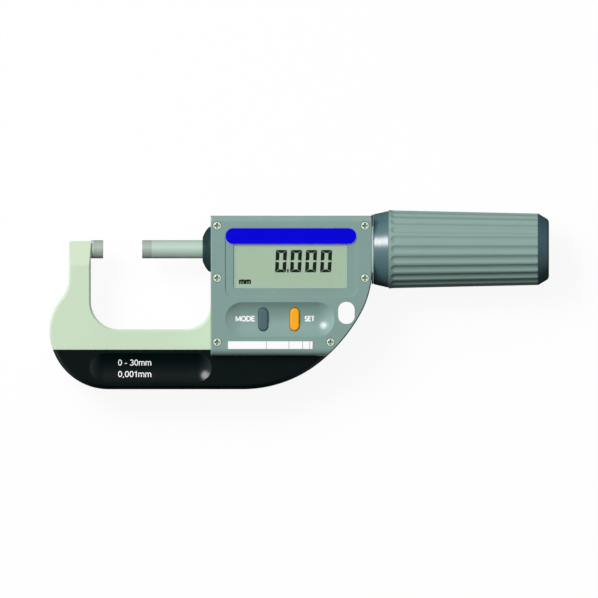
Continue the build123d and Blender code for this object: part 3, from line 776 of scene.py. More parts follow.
def border(
    name: str, outer: np.ndarray, inner: np.ndarray, low: float, high: float
) -> bpy.types.Mesh:
    """Flat frame between two rings of points.

    Args:
        name: name of the piece.
        outer: outer ring.
        inner: inner ring, with as many points.
        low: level of its underside.
        high: level of its top.

    Returns:
        The mesh.
    """
    rings = []
    for ring, level in ((outer, low), (outer, high), (inner, high), (inner, low)):
        rings.append(np.column_stack((ring, np.full(len(ring), level))))
    return skin(name, np.array(rings), True)


def arc(middle: Point, radii: Point, start: float, end: float) -> tuple[Point, ...]:
    """Points of an elliptic arc.

    Args:
        middle: its centre.
        radii: its half extents along X and Y.
        start: angle of its first point, in degrees.
        end: angle of its last point, in degrees.

    Returns:
        The points, about one to each step of ARC_STEP degrees.
    """
    count = max(ARC_LEAST, round(abs(end - start) / ARC_STEP) + 1)
    turns = np.radians(np.linspace(start, end, count))
    return tuple(
        (middle[0] + radii[0] * math.cos(turn), middle[1] + radii[1] * math.sin(turn))
        for turn in turns
    )


@dataclass(frozen=True)
class Sign:
    """Drawn sign of a plain stroke lettering whose capitals are one unit high.

    Attributes:
        width: how far the next sign stands.
        paths: middle lines of its strokes.
    """

    width: float
    paths: tuple[tuple[Point, ...], ...]


SIGNS = {
    " ": Sign(0.3, ()),
    "-": Sign(0.5, (((0.09, 0.36), (0.41, 0.36)),)),
    ",": Sign(0.3, (((0.17, 0.15), (0.15, 0.0), (0.08, -0.13)),)),
    "0": Sign(0.66, (arc((0.33, 0.5), (0.23, 0.44), 90, 450),)),
    "1": Sign(0.56, (((0.34, 0.0), (0.34, 1.0)), ((0.1, 0.72), (0.24, 0.8), (0.34, 0.93)))),
    "3": Sign(
        0.66,
        (
            arc((0.31, 0.725), (0.21, 0.215), 160, -90),
            arc((0.31, 0.285), (0.25, 0.225), 90, -160),
        ),
    ),
    "m": Sign(
        0.98,
        (
            ((0.12, 0.0), (0.12, 0.74)),
            (*arc((0.305, 0.47), (0.185, 0.21), 180, 0), (0.49, 0.0)),
            (*arc((0.675, 0.47), (0.185, 0.21), 180, 0), (0.86, 0.0)),
        ),
    ),
    "D": Sign(
        0.84,
        (((0.12, 0.06), *arc((0.36, 0.5), (0.38, 0.44), -90, 90), (0.12, 0.94), (0.12, 0.06)),),
    ),
    "E": Sign(
        0.74,
        (((0.66, 0.06), (0.12, 0.06), (0.12, 0.94), (0.64, 0.94)), ((0.12, 0.52), (0.6, 0.52))),
    ),
    "M": Sign(
        0.98,
        (
            ((0.12, 0.0), (0.12, 1.0)),
            ((0.86, 0.0), (0.86, 1.0)),
            ((0.14, 0.97), (0.49, 0.08)),
            ((0.49, 0.08), (0.84, 0.97)),
        ),
    ),
    "O": Sign(0.9, (arc((0.45, 0.5), (0.36, 0.44), 90, 450),)),
    "S": Sign(
        0.74,
        (
            (
                *arc((0.37, 0.725), (0.26, 0.215), 25, 270),
                *arc((0.37, 0.285), (0.29, 0.225), 90, -155)[1:],
            ),
        ),
    ),
    "T": Sign(0.68, (((0.02, 0.94), (0.66, 0.94)), ((0.34, 0.0), (0.34, 0.94)))),
}


def divided(path: np.ndarray, longest: float) -> np.ndarray:
    """Path with points added, so that no step is longer than a length.

    Args:
        path: points of the path.
        longest: greatest length of a step.

    Returns:
        The points, with the new ones between them.
    """
    points = [path[0]]
    for start, end in zip(path, path[1:]):
        steps = math.ceil(np.linalg.norm(end - start) / longest) or 1
        points += [start + (end - start) * step / steps for step in range(1, steps + 1)]
    return np.array(points)


def ribbon(path: np.ndarray, width: float, low: float, high: float) -> np.ndarray:
    """Flat bar along a path, mitred at its corners.

    Args:
        path: points of the middle line; a path that returns to its start has no ends.
        width: width of the bar.
        low: level of its underside.
        high: level of its top.

    Returns:
        Array of rings of four points.
    """
    steps = np.diff(path, axis=0)
    steps /= np.linalg.norm(steps, axis=1)[:, None]
    meets = np.allclose(path[0], path[-1])
    before = np.vstack((steps[-1:] if meets else steps[:1], steps))
    after = np.vstack((steps, steps[:1] if meets else steps[-1:]))
    both = before + after
    aside = np.column_stack((-both[:, 1], both[:, 0]))
    aside *= width / (aside * np.column_stack((-before[:, 1], before[:, 0]))).sum(1)[:, None] / 2
    rings = []
    for share, level in ((1, low), (1, high), (-1, high), (-1, low)):
        line = path + share * aside
        rings.append(np.column_stack((line, np.full(len(line), level))))
    return np.stack(rings, 1)


def lettering(
    name: str, words: str, foot: Point, right: float, height: float, bold: float, ink: float
) -> bpy.types.Mesh:
    """Words of stroke letters as a thin solid on Z 0.

    Args:
        name: name of the piece.
        words: signs to set.
        foot: left end of the words and level of their feet.
        right: right end of the words.
        height: height of the capitals.
        bold: width of the strokes, as a share of the height.
        ink: thickness of the solid.

    Returns:
        The mesh.
    """
    starts = np.cumsum([0.0] + [SIGNS[sign].width for sign in words])
    paths = [
        (np.array(path) + (start, 0.0)) * height
        for sign, start in zip(words, starts)
        for path in SIGNS[sign].paths
    ]
    width = bold * height
    least = min(path[:, 0].min() for path in paths) - width / 2
    most = max(path[:, 0].max() for path in paths) + width / 2
    stretch = (right - foot[0] - width) / (most - least - width)
    points = []
    faces = []
    for path in paths:
        path[:, 0] = (path[:, 0] - least - width / 2) * stretch + foot[0] + width / 2
        path[:, 1] += foot[1]
        rings = ribbon(divided(path, height / LETTER_STEPS), width, 0.0, ink)
        first = len(points)
        last = first + 4 * (len(rings) - 1)
        points += list(rings.reshape(-1, 3))
        for start in range(first, last, 4):
            for side in range(4):
                beside = (side + 1) % 4
                faces.append([start + side, start + beside, start + 4 + beside, start + 4 + side])
        faces += [[start, start + 1, start + 2, start + 3] for start in (first, last)]
    return mesh_of(name, np.array(points), faces)


def drape(mesh: bpy.types.Mesh, node: str, lift: float) -> None:
    """Lay a flat mesh on the front of a CAD node.

    Args:
        mesh: mesh that stands on Z 0.
        node: node to lie on.
        lift: how far the mesh's underside stands above the surface.
    """
    ground = BVHTree.FromObject(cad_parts[node], bpy.context.evaluated_depsgraph_get())
    above = 2 * Place.of(node).high.z
    for vertex in mesh.vertices:
        hit = ground.ray_cast(Vector((vertex.co.x, vertex.co.y, above)), Vector((0, 0, -1)))[0]
        vertex.co.z += hit.z + lift


@dataclass(frozen=True)
class Print:
    """White words printed on a moulding.

    Attributes:
        height: height of the capitals.
        bold: width of the strokes, as a share of the height.
        ink: thickness of the print.
    """

    height: float
    bold: float
    ink: float = 0.06 * MM

    def lay(self, name: str, words: str, foot: Point, right: float, node: str) -> None:
        """Print words on the front of a CAD node.

        Args:
            name: name of the piece.
            words: signs to set.
            foot: left end of the words and level of their feet.
            right: right end of the words.
            node: node to print on.
        """
        mesh = lettering(name, words, foot, right, self.height, self.bold, self.ink)
        drape(mesh, node, -self.ink * PRINT_SUNK)
        piece(mesh, Palette.ink, "body", "print_white")


@dataclass(frozen=True)
class CrossScrew:
    """Screw with a cross recess in its rounded head.

    Attributes:
        head: radius of the head.
        shank: radius of the thread.
        length: whole length.
        head_height: height of the head.
        round: rounding of the head's rim.
        arm: half length of the recess.
        width: half width of the recess.
        depth: depth of the recess.
        foot: share of the recess's length that is left at its floor.
        narrow: share of its width that is left there.
        facets: facets in the rim's rounding.
        sides: facets round the screw.
    """

    head: float
    shank: float
    length: float
    head_height: float = 1.2 * MM
    round: float = 0.3 * MM
    arm: float = 1.0 * MM
    width: float = 0.32 * MM
    depth: float = 1.1 * MM
    foot: float = 0.85
    narrow: float = 0.85
    facets: int = 6
    sides: int = 48

    def outline(self) -> list[Point]:
        """Outline of the screw from the head's flat face down to the thread's end.

        Returns:
            Pairs of radius and level.
        """
        flat = self.head - self.round
        points = []
        for step in range(self.facets + 1):
            turn = math.pi / 2 * step / self.facets
            points.append((flat + self.round * math.sin(turn), self.round * (math.cos(turn) - 1)))
        seat = -self.head_height
        return points + [(self.head, seat), (self.shank, seat), (self.shank, -self.length)]

    @staticmethod
    def cross(long: float, thin: float) -> list[Point]:
        """Outline of a cross.

        Args:
            long: half length of its arms.
            thin: half width of its arms.

        Returns:
            Its points in order.
        """
        points = []
        for quarter in range(4):
            ahead = Vector((math.cos(quarter * math.pi / 2), math.sin(quarter * math.pi / 2)))
            aside = Vector((-ahead.y, ahead.x))
            points.append(tuple(ahead * long - aside * thin))
            points.append(tuple(ahead * long + aside * thin))
            points.append(tuple(ahead * thin + aside * thin))
        return points

    def one(self) -> bpy.types.Mesh:
        """One screw with the middle of its head's face at the origin, looking up Z.

        Returns:
            The mesh.
        """
        build = bmesh.new()
        turns = [2 * math.pi * side / self.sides for side in range(self.sides)]
        rings = [
            [build.verts.new((r * math.cos(turn), r * math.sin(turn), level)) for turn in turns]
            for r, level in self.outline()
        ]
        foot = self.cross(self.arm * self.foot, self.width * self.narrow)
        mouth = [build.verts.new((*point, 0.0)) for point in self.cross(self.arm, self.width)]
        floor = [build.verts.new((*point, -self.depth)) for point in foot]
        for upper, lower in [*zip(rings, rings[1:]), (mouth, floor)]:
            for index in range(len(upper)):
                face = build.faces.new(
                    (upper[index - 1], upper[index], lower[index], lower[index - 1])
                )
                # Walls and floor of the recess take the second, darker finish: painted shade
                # inside the recess.
                face.material_index = int(upper is mouth)
        build.faces.new(rings[-1])
        edges = {
            ring[0]: [build.edges.get((ring[i - 1], ring[i])) for i in range(len(ring))]
            for ring in (rings[0], mouth, floor)
        }
        filled = bmesh.ops.triangle_fill(build, edges=edges[floor[0]], use_beauty=True)
        for face in filled["geom"]:
            if isinstance(face, bmesh.types.BMFace):
                face.material_index = 1
        bmesh.ops.triangle_fill(
            build, edges=edges[rings[0][0]] + edges[mouth[0]], use_beauty=True
        )
        bmesh.ops.recalc_face_normals(build, faces=build.faces)
        made = bpy.data.meshes.new("screw")
        build.to_mesh(made)
        build.free()
        return made

    def set_at(self, name: str, places: list[Point], level: float, side: Side) -> bpy.types.Mesh:
        """Screws at their places, in one mesh.

        Args:
            name: name of the piece.
            places: centres of the screws in X and Y.
            level: level of the heads' faces.
            side: side that the heads look out of.

        Returns:
            The mesh.
        """
        pattern = self.one()
        whole = bmesh.new()
        for x, y in places:
            copy = pattern.copy()
            stand = Matrix.Translation((x, y, level))
            if side is Side.BACK:
                stand = stand @ Matrix.Rotation(math.pi, 4, "X")
            copy.transform(stand)
            whole.from_mesh(copy)
            bpy.data.meshes.remove(copy)
        bpy.data.meshes.remove(pattern)
        made = bpy.data.meshes.new(name)
        whole.to_mesh(made)
        whole.free()
        return made


@dataclass(frozen=True)
class Lamp:
    """Soft oval lamp.

    Attributes:
        name: name of the lamp.
        way: direction from the instrument to the lamp.
        across: its extent across the view.
        along: its extent along the view.
        power: its power in watts.
    """

    name: str
    way: Direction
    across: float
    along: float
    power: float

    def build(self, target: Vector, distance: float) -> None:
        """Hang the lamp.

        Args:
            target: point that it looks at.
            distance: how far away it hangs.
        """
        made = bpy.data.lights.new(self.name, "AREA")
        made.shape = "ELLIPSE"
        made.size = self.across
        made.size_y = self.along
        made.energy = self.power
        holder = bpy.data.objects.new(self.name, made)
        way = Vector(self.way).normalized()
        holder.location = target + way * distance
        holder.rotation_euler = way.to_track_quat("Z", "Y").to_euler()
        bpy.context.scene.collection.objects.link(holder)


@dataclass
class Studio:
    """Camera, pale floor, soft lamps and the world round the instrument.

    Attributes:
        view_width: width that the camera takes in.
        view_centre: point that the camera looks down on.
        camera_height: level of the camera.
        distance: how far away the lamps hang.
        floor_gap: air between the instrument's lowest point and the floor.
        floor_half: half width of the floor.
        floor_grey: grey of the floor for the light that it throws back on the instrument.
        floor_pale: grey of the floor as it is seen.
        floor_glare: share of the seen floor that is plain white.
        sky_way: direction of the brightest part of the sky.
        sky_lobe: brightness of that part.
        sky_haze: brightness of the sky all round.
        sky_dim: share of the sky that mirrored rays miss, so that only lamps shine.
        cards: brightness of the white cards left and right, which only mirrored rays see.
        lamps: lamps of the studio.
    """

    view_width: float = 213.57 * MM
    view_centre: Point = (69.93 * MM, -17.75 * MM)
    camera_height: float = 0.5
    distance: float = 2.0
    floor_gap: float = 0.2 * MM
    floor_half: float = 3.0
    floor_grey: float = 0.08
    floor_pale: float = 0.95
    floor_glare: float = 0.92
    sky_way: Direction = (-0.42, 0.45, 0.8)
    sky_lobe: float = 2.4
    sky_haze: float = 0.02
    sky_dim: float = 0.85
    cards: float = 1.8
    lamps: tuple[Lamp, ...] = (
        Lamp("key", (-0.44, 0.40, 0.80), 0.85, 0.85, 23.0),
        Lamp("under", (0.0, 0.0, -1.0), 0.85, 0.85, 16.0),
    )

    def camera(self) -> None:
        """Camera that looks straight down on the display side."""
        made = bpy.data.cameras.new("camera")
        made.type = "ORTHO"
        made.ortho_scale = self.view_width
        holder = bpy.data.objects.new("camera", made)
        holder.location = (*self.view_centre, self.camera_height)
        bpy.context.scene.collection.objects.link(holder)
        bpy.context.scene.camera = holder

    @staticmethod
    def seen(tree: Tree) -> Socket:
        """One for rays that come from the camera, straight or through glass."""
        straight = tree.node("ShaderNodeLightPath", output=Ray.CAMERA.value)
        return straight | tree.node("ShaderNodeLightPath", output=Ray.THROUGH.value)

    def floor(self) -> None:
        """Pale floor that keeps a soft shadow and lets the light from under it through."""
        build = bmesh.new()
        bmesh.ops.create_grid(build, x_segments=1, y_segments=1, size=self.floor_half)
        mesh = bpy.data.meshes.new("floor")
        build.to_mesh(mesh)
        build.free()
        made = bpy.data.objects.new("floor", mesh)
        made.location = (*self.view_centre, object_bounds()[0].z - self.floor_gap)
        bpy.context.scene.collection.objects.link(made)
        material = bpy.data.materials.new("floor_pale")
        tree = Tree(material)
        seen = self.seen(tree)
        dull = (*[self.floor_grey] * 3, 1.0)
        pale = (*[self.floor_pale] * 3, 1.0)
        matt = tree.node("ShaderNodeBsdfDiffuse", inputs={"Color": tree.mix(seen, dull, pale)})
        white = tree.node("ShaderNodeEmission")
        share = seen * self.floor_glare
        top = tree.node("ShaderNodeMixShader", inputs={0: share, 1: matt, 2: white})
        below = tree.node("ShaderNodeNewGeometry", output="Backfacing")
        lit = tree.node("ShaderNodeLightPath", output=Ray.SHADOW.value)
        open_air = tree.node("ShaderNodeBsdfTransparent")
        shader = tree.node("ShaderNodeMixShader", inputs={0: below | lit, 1: top, 2: open_air})
        tree.node("ShaderNodeOutputMaterial", inputs={"Surface": shader})
        mesh.materials.append(material)
        made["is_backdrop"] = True

    def world(self) -> None:
        """White where it is seen; as light, brightest on one side overhead."""
        made = bpy.data.worlds.new("studio")
        bpy.context.scene.world = made
        tree = Tree(made)
        seen = self.seen(tree)
        way = tree.node("ShaderNodeTexCoord", output="Generated")
        facing = tree.node(
            "ShaderNodeVectorMath",
            {"operation": "DOT_PRODUCT"},
            {0: way, 1: Vector(self.sky_way).normalized()},
            "Value",
        )
        across = tree.node("ShaderNodeSeparateXYZ", inputs={0: way}, output=Axis.X.value)
        lobe = (facing | 0.0) * (facing | 0.0)
        mirrored = tree.node("ShaderNodeLightPath", output=Ray.GLOSSY.value)
        light = (lobe * lobe * self.sky_lobe + self.sky_haze) * (1 - mirrored * self.sky_dim)
        light = light + mirrored * across * across * self.cards
        level = seen + (1 - seen) * light
        shader = tree.node("ShaderNodeBackground", inputs={"Strength": level})
        tree.node("ShaderNodeOutputWorld", inputs={"Surface": shader})

    def build(self) -> None:
        """Set up the whole studio."""
        self.camera()
        self.floor()
        self.world()
        for lamp in self.lamps:
            lamp.build(Vector((*self.view_centre, 0)), self.distance)
        bpy.context.scene.view_settings.view_transform = "Standard"


class Assembly(ABC):
    """Sub-assembly of the instrument."""

    @abstractmethod
    def build(self) -> None:
        """Build its pieces and dress them."""


@dataclass
class MeasuringLine(Assembly):
    """Frame casting with anvil, spindle and seal nut.

    Attributes:
        edge: rounding of the ground parts' edges.
        seam: rounding where a tip meets its rod.
        spigot: radius of the turned ends that hold the anvil and the spindle.
        base_length: length of the anvil's turned base.
        nut_face: radius of the seal nut's flat face.
        nut_dome: how far back and how far out the corners of its dome lie.
        nut_round: rounding of those corners.
        nut_base: radius of the dome where it meets the housing.
        nut_bore: radius of the seal nut's bore.
        nut_spigot: radius of its end inside the housing.
    """

    edge: float = 0.12 * MM
    seam: float = 0.1 * MM
    spigot: float = 2.5 * MM
    base_length: float = 1.0 * MM
    nut_face: float = 4.3 * MM
    nut_dome: tuple[Point, ...] = (
        (0.85 * MM, 6.18 * MM), (1.55 * MM, 7.2 * MM), (2.25 * MM, 7.97 * MM)
    )
    nut_round: float = 0.45 * MM
    nut_base: float = 8.1 * MM
    nut_bore: float = 3.47 * MM
    nut_spigot: float = 4.4 * MM

    def anvil(self) -> None:
        """Anvil with its turned base and its tip."""
        whole = Place.of("anvil")
        tip = Place.of("anvil_carbide_tip")
        face = tip.low.x - self.base_length
        outline = rounded(
            [
                Corner(whole.low.x, 0.0),
                Corner(whole.low.x, self.spigot, self.edge),
                Corner(face, self.spigot),
                Corner(face, tip.radius, self.seam),
                Corner(tip.low.x, tip.radius, self.seam),
                Corner(tip.low.x, 0.0),
            ]
        )
        mesh = turned("anvil_turned", outline[1:-1], False)
        piece(mesh, Palette.base, "body", "ground_steel", "anvil")
        self.tip("anvil_tip", tip, (self.seam, self.edge), "body", "anvil_carbide_tip")

    def tip(self, name: str, place: Place, rounds: Point, body: str, node: str) -> None:
        """Carbide tip with a keen measuring face.

        Args:
            name: name of the piece.
            place: box of the CAD node.
            rounds: rounding of its two rims, in order along the measuring line.
            body: body that it rides on.
            node: CAD node that it replaces.
        """
        outline = rounded(
            [
                Corner(place.low.x, 0.0),
                Corner(place.low.x, place.radius, rounds[0]),
                Corner(place.high.x, place.radius, rounds[1]),
                Corner(place.high.x, 0.0),
            ]
        )
        piece(turned(name, outline[1:-1], False), Palette.carbide, body, "carbide", node)

    def spindle(self) -> None:
        """Spindle rod as far as its carriage, with its tip."""
        rod = Place.of("spindle")
        tip = Place.of("spindle_carbide_tip")
        carriage = Place.of("spindle_carriage").low.x
        outline = rounded(
            [
                Corner(rod.low.x, 0.0),
                Corner(rod.low.x, tip.radius, self.seam),
                Corner(carriage, tip.radius, self.seam),
                Corner(carriage, self.spigot),
                Corner(rod.high.x, self.spigot, self.edge),
                Corner(rod.high.x, 0.0),
            ]
        )
        mesh = turned("spindle_rod", outline[1:-1], False)
        piece(mesh, Palette.steel, "spindle", "ground_steel", "spindle")
        self.tip("spindle_tip", tip, (self.edge, self.seam), "spindle", "spindle_carbide_tip")

    def seal_nut(self) -> None:
        """Seal nut with its domed face."""
        nut = Place.of("seal_nut")
        back = Place.of("front_cover").low.x
        corners = [Corner(nut.low.x, self.nut_bore, self.edge)]
        corners.append(Corner(nut.low.x, self.nut_face, self.nut_round / 2))
        corners += [Corner(nut.low.x + x, out, self.nut_round) for x, out in self.nut_dome]
        corners.append(Corner(back, self.nut_base, self.seam))
        corners.append(Corner(back, self.nut_spigot))
        corners.append(Corner(nut.high.x, self.nut_spigot, self.edge))
        corners.append(Corner(nut.high.x, self.nut_bore))
        mesh = turned("seal_nut_dome", rounded(corners))
        piece(mesh, Palette.nut, "body", "nut_slate", "seal_nut")

    def build(self) -> None:
        """Dress the casting and build the pieces on the measuring line."""
        dress(Palette.enamel, "frame")
        self.anvil()
        self.spindle()
        self.seal_nut()


@dataclass
class Grips(Assembly):
    """Black mouldings round the lower limb, with their print and screws.

    Attributes:
        lines: piece, words and level above the sole of each line of print.
        text_left: left end of the lines.
        text_right: right end of the lines.
        text: their print.
        head: radius of the screw heads.
        shank: radius of their threads.
        arm: half length of their recess.
        middle_screw: place of the middle screw along the measuring line.
    """

    lines: tuple[tuple[str, str, float], ...] = (
        ("grip_print_range", "0 - 30mm", 8.46 * MM),
        ("grip_print_step", "0,001mm", 4.36 * MM),
    )
    text_left: float = 5.3 * MM
    text_right: float = 17.2 * MM
    text: Print = Print(2.16 * MM, 0.15)
    head: float = 1.9 * MM
    shank: float = 1.0 * MM
    arm: float = 1.1 * MM
    middle_screw: float = 33.0 * MM

    def screws(self) -> None:
        """Screws that draw both halves together, seen on the back."""
        group = Place.of("grip_screws")
        screw = CrossScrew(self.head, self.shank, group.high.z - group.low.z, arm=self.arm)
        ends = (group.low.x + self.head, self.middle_screw, group.high.x - self.head)
        places = [(x, group.middle.y) for x in ends]
        mesh = screw.set_at("grip_screw_set", places, group.low.z, Side.BACK)
        piece(mesh, Palette.screw, "body", "screw_steel", "grip_screws", inner=Palette.recess)

    def build(self) -> None:
        """Dress the mouldings, print the range and set the screws."""
        dress(Palette.grip, "grip_front", "grip_rear")
        sole = Place.of("grip_front").low.y
        for name, words, level in self.lines:
            foot = (self.text_left, sole + level)
            self.text.lay(name, words, foot, self.text_right, "grip_front")
        self.screws()


@dataclass
class Housing(Assembly):
    """Grey cover, black shell, screws, band, label bar, badge and battery cover.

    Attributes:
        rim: width of the band's pale rim.
        rim_lift: how far the rim stands above the band.
        rim_drop: how far it reaches down the band's side.
        head: radius of the screw heads.
        shank: radius of their threads.
        low_inset: how far the lower right screw stands in from the right one.
        middle_drop: how far the middle screws stand below the top ones.
    """

    rim: float = 0.1 * MM
    rim_lift: float = 0.02 * MM
    rim_drop: float = 0.15 * MM
    head: float = 1.45 * MM
    shank: float = 0.8 * MM
    low_inset: float = 12.3 * MM
    middle_drop: float = 18.7 * MM

    def screws(self, name: str, node: str, side: Side) -> None:
        """Screws of the front cover or of the rear shell.

        Args:
            name: name of the piece.
            node: CAD node that it replaces.
            side: side that the heads look out of.
        """
        group = Place.of(node)
        left = group.low.x + self.head
        right = group.high.x - self.head
        top = group.high.y - self.head
        bottom = group.low.y + self.head
        places = [(left, top), (right, top), (left, bottom), (right - self.low_inset, bottom)]
        level = group.low.z
        if side is Side.FRONT:
            places += [(left, top - self.middle_drop), (right, top - self.middle_drop)]
            level = group.high.z
        screw = CrossScrew(self.head, self.shank, group.high.z - group.low.z)
        mesh = screw.set_at(name, places, level, side)
        piece(mesh, Palette.screw, "body", "screw_steel", node, inner=Palette.recess)

    def band_rim(self) -> None:
        """Pale rim printed round the blue band."""
        band = Place.of("name_band")
        centre = (band.middle.x, band.middle.y)
        width = band.high.x - band.low.x
        height = band.high.y - band.low.y
        outer = loop(centre, width, height, height / 2)
        inset = 2 * self.rim
        inner = loop(centre, width - inset, height - inset, height / 2 - self.rim)
        levels = (band.high.z - self.rim_drop, band.high.z + self.rim_lift)
        mesh = border("band_rim_line", outer, inner, *levels)
        piece(mesh, Palette.rim, "body", "print_white")

    def build(self) -> None:
        """Dress the mouldings and add the screws and the rim."""
        dress(Palette.cover, "front_cover")
        dress(Palette.shell, "rear_shell", "battery_cover")
        dress(Palette.rubber, "cover_gasket", "battery_cover_seal")
        dress(Palette.band, "name_band")
        dress(Palette.ink, "label_bar", "badge_oval")
        self.screws("cover_screw_set", "cover_screws", Side.FRONT)
        self.screws("rear_screw_set", "rear_screws", Side.BACK)
        self.band_rim()


@dataclass
class DisplayPanel(Assembly):
    """Display with its window, a painted sheen along the window's edge, digits and unit.

    Attributes:
        digit_left: left foot of the first digit, from the display's middle.
        digit_foot: level of the digits' feet, from the display's middle.
        digit_width: width of a digit.
        digit_height: height of a digit.
        pitch: distance from digit to digit.
        digits: how many digits there are.
        upright: width of the upright segments.
        level: width of the level segments.
        mitre: gap between segments at the corners.
        middle: gap between upper and lower segments.
        point: how far the upright segments are cut back inside.
        slant: lean of the digits in degrees.
        dot: centre of the decimal point, from the display's middle.
        dot_size: its width and height.
        unit: left foot of the unit, from the display's middle.
        unit_right: right end of the unit, from the display's middle.
        unit_height: height that a capital of the unit would have.
        bold: width of the unit's strokes, as a share of that height.
        ink: thickness of the print.
        glass_edge_sheen: width of the painted sheen along the window's edge, a paler bluish border
            on the display's face.
        corner: radius of its corners.
        plate: thickness of the window.
        block: height of the display's block on the board.
        insets: how far block, neck and face stand in from the window's edge.
    """

    digit_left: float = -5.51 * MM
    digit_foot: float = -2.07 * MM
    digit_width: float = 3.95 * MM
    digit_height: float = 7.98 * MM
    pitch: float = 5.37 * MM
    digits: int = 4
    upright: float = 1.3 * MM
    level: float = 1.05 * MM
    mitre: float = 0.16 * MM
    middle: float = 0.32 * MM
    point: float = 0.3 * MM
    slant: float = 2.7
    dot: Point = (-0.89 * MM, -1.53 * MM)
    dot_size: Point = (0.55 * MM, 1.24 * MM)
    unit: Point = (-18.39 * MM, -6.25 * MM)
    unit_right: float = -14.06 * MM
    unit_height: float = 2.0 * MM
    bold: float = 0.3
    ink: float = 0.03 * MM
    glass_edge_sheen: float = 0.75 * MM
    corner: float = 1.0 * MM
    plate: float = 0.3 * MM
    block: float = 2.5 * MM
    insets: tuple[float, float, float] = (-0.55 * MM, 0.65 * MM, 0.02 * MM)

    def stack(
        self, name: str, levels: list[tuple[float, float]], finish: Finish, slot: str, node: str
    ) -> None:
        """Block of rounded rectangles round the window's middle.

        Args:
            name: name of the piece.
            levels: level and inset from the window's edge of each rectangle, from below.
            finish: finish to wear.
            slot: name of a material slot, handed on to the piece.
            node: CAD node that it replaces.
        """
        window = Place.of("display_window")
        centre = (window.middle.x, window.middle.y)
        wide = window.high.x - window.low.x
        tall = window.high.y - window.low.y
        rings = []
        for level, inset in levels:
            ring = loop(centre, wide - 2 * inset, tall - 2 * inset, self.corner)
            rings.append(np.column_stack((ring, np.full(len(ring), level))))
        piece(skin(name, np.array(rings), False), finish, "body", slot, node)

    def zero(self, left: float, foot: float) -> list[list[Point]]:
        """Six segments of a nought.

        Args:
            left: place of its left foot.
            foot: level of its feet.

        Returns:
            Outlines of the segments.
        """
        wide = self.digit_width
        tall = self.digit_height
        gap = self.mitre / 2
        tip = (tall - self.middle) / 2
        bar = [
            (gap, 0.0),
            (wide - gap, 0.0),
            (wide - self.upright - gap, self.level),
            (self.upright + gap, self.level),
        ]
        post = [
            (0.0, gap),
            (self.upright, self.level + gap),
            (self.upright, tip - self.point),
            (0.0, tip),
        ]
        shapes = [bar, post, [(wide - x, y) for x, y in post]]
        shapes += [[(x, tall - y) for x, y in shape] for shape in shapes]
        lean = math.tan(math.radians(self.slant))
        return [[(left + x + y * lean, foot + y) for x, y in shape] for shape in shapes]

    def digits_mesh(self, middle: Vector, cell: float) -> bpy.types.Mesh:
        """Digits and decimal point.

        Args:
            middle: middle of the display.
            cell: level of its face.

        Returns:
            The mesh.
        """
        shapes = []
        for index in range(self.digits):
            left = middle.x + self.digit_left + index * self.pitch
            shapes += self.zero(left, middle.y + self.digit_foot)
        corners = ((-0.5, -0.5), (0.5, -0.5), (0.5, 0.5), (-0.5, 0.5))
        shapes.append(
            [
                (
                    middle.x + self.dot[0] + x * self.dot_size[0],
                    middle.y + self.dot[1] + y * self.dot_size[1],
                )
                for x, y in corners
            ]
        )
        return slab("display_digits", shapes, cell, cell + self.ink)

    def build(self) -> None:
        """Build the window and the display right behind it and print the reading."""
        window = Place.of("display_window")
        foot = Place.of("display_module").low.z
        under = window.high.z - self.plate
        cell = under - 2 * self.ink
        block, neck, face = self.insets
        levels = [(foot, block), (foot + self.block, block), (foot + self.block, neck)]
        levels += [(window.low.z, neck), (window.low.z, face), (cell, face)]
        self.stack("display_cell", levels, Palette.cell, "display_face", "display_module")
        levels = [(under, face), (window.high.z, face)]
        self.stack("display_plate", levels, Palette.plate, "window_clear", "display_window")
        middle = window.middle
        piece(self.digits_mesh(middle, cell), Palette.segment, "body", "shell_black")
        start = (middle.x + self.unit[0], middle.y + self.unit[1])
        right = middle.x + self.unit_right
        unit = lettering(
            "display_unit", "mm", start, right, self.unit_height, self.bold, self.ink
        )
        unit.transform(Matrix.Translation((0, 0, cell)))
        piece(unit, Palette.segment, "body", "shell_black")
        # Painted sheen: a paler bluish border along the window's edge, for the light that its
        # glass edge throws.
        width = window.high.x - window.low.x
        height = window.high.y - window.low.y
        inset = 2 * self.glass_edge_sheen
        outer = loop((middle.x, middle.y), width, height, self.corner)
        inner = loop((middle.x, middle.y), width - inset, height - inset, self.corner)
        mesh = border("display_glass_edge_sheen", outer, inner, cell, cell + self.ink)
        piece(mesh, Palette.glass_edge_sheen, "body", "display_face")


@dataclass
class ButtonField(Assembly):
    """Two keys in the dished field and their words.

    Attributes:
        words: node of each key, its word, and the word's ends from the key's middle.
        word_foot: feet of the words, from the keys' middle.
        text: print of the words.
    """

    words: tuple[tuple[str, str, float, float], ...] = (
        ("button_mode", "MODE", -9.95 * MM, -2.8 * MM),
        ("button_set", "SET", 3.5 * MM, 7.25 * MM),
    )
    word_foot: float = -0.65 * MM
    text: Print = Print(1.8 * MM, 0.25)

    def build(self) -> None:
        """Dress the keys and print their words."""
        dress(Palette.key_dark, "button_mode")
        dress(Palette.key_orange, "button_set")
        dress(Palette.rubber, "button_membrane")
        for node, word, left, right in self.words:
            key = Place.of(node).middle
            foot = (key.x + left, key.y + self.word_foot)
            name = "word_" + word.lower()
            self.text.lay(name, word, foot, key.x + right, "front_cover")


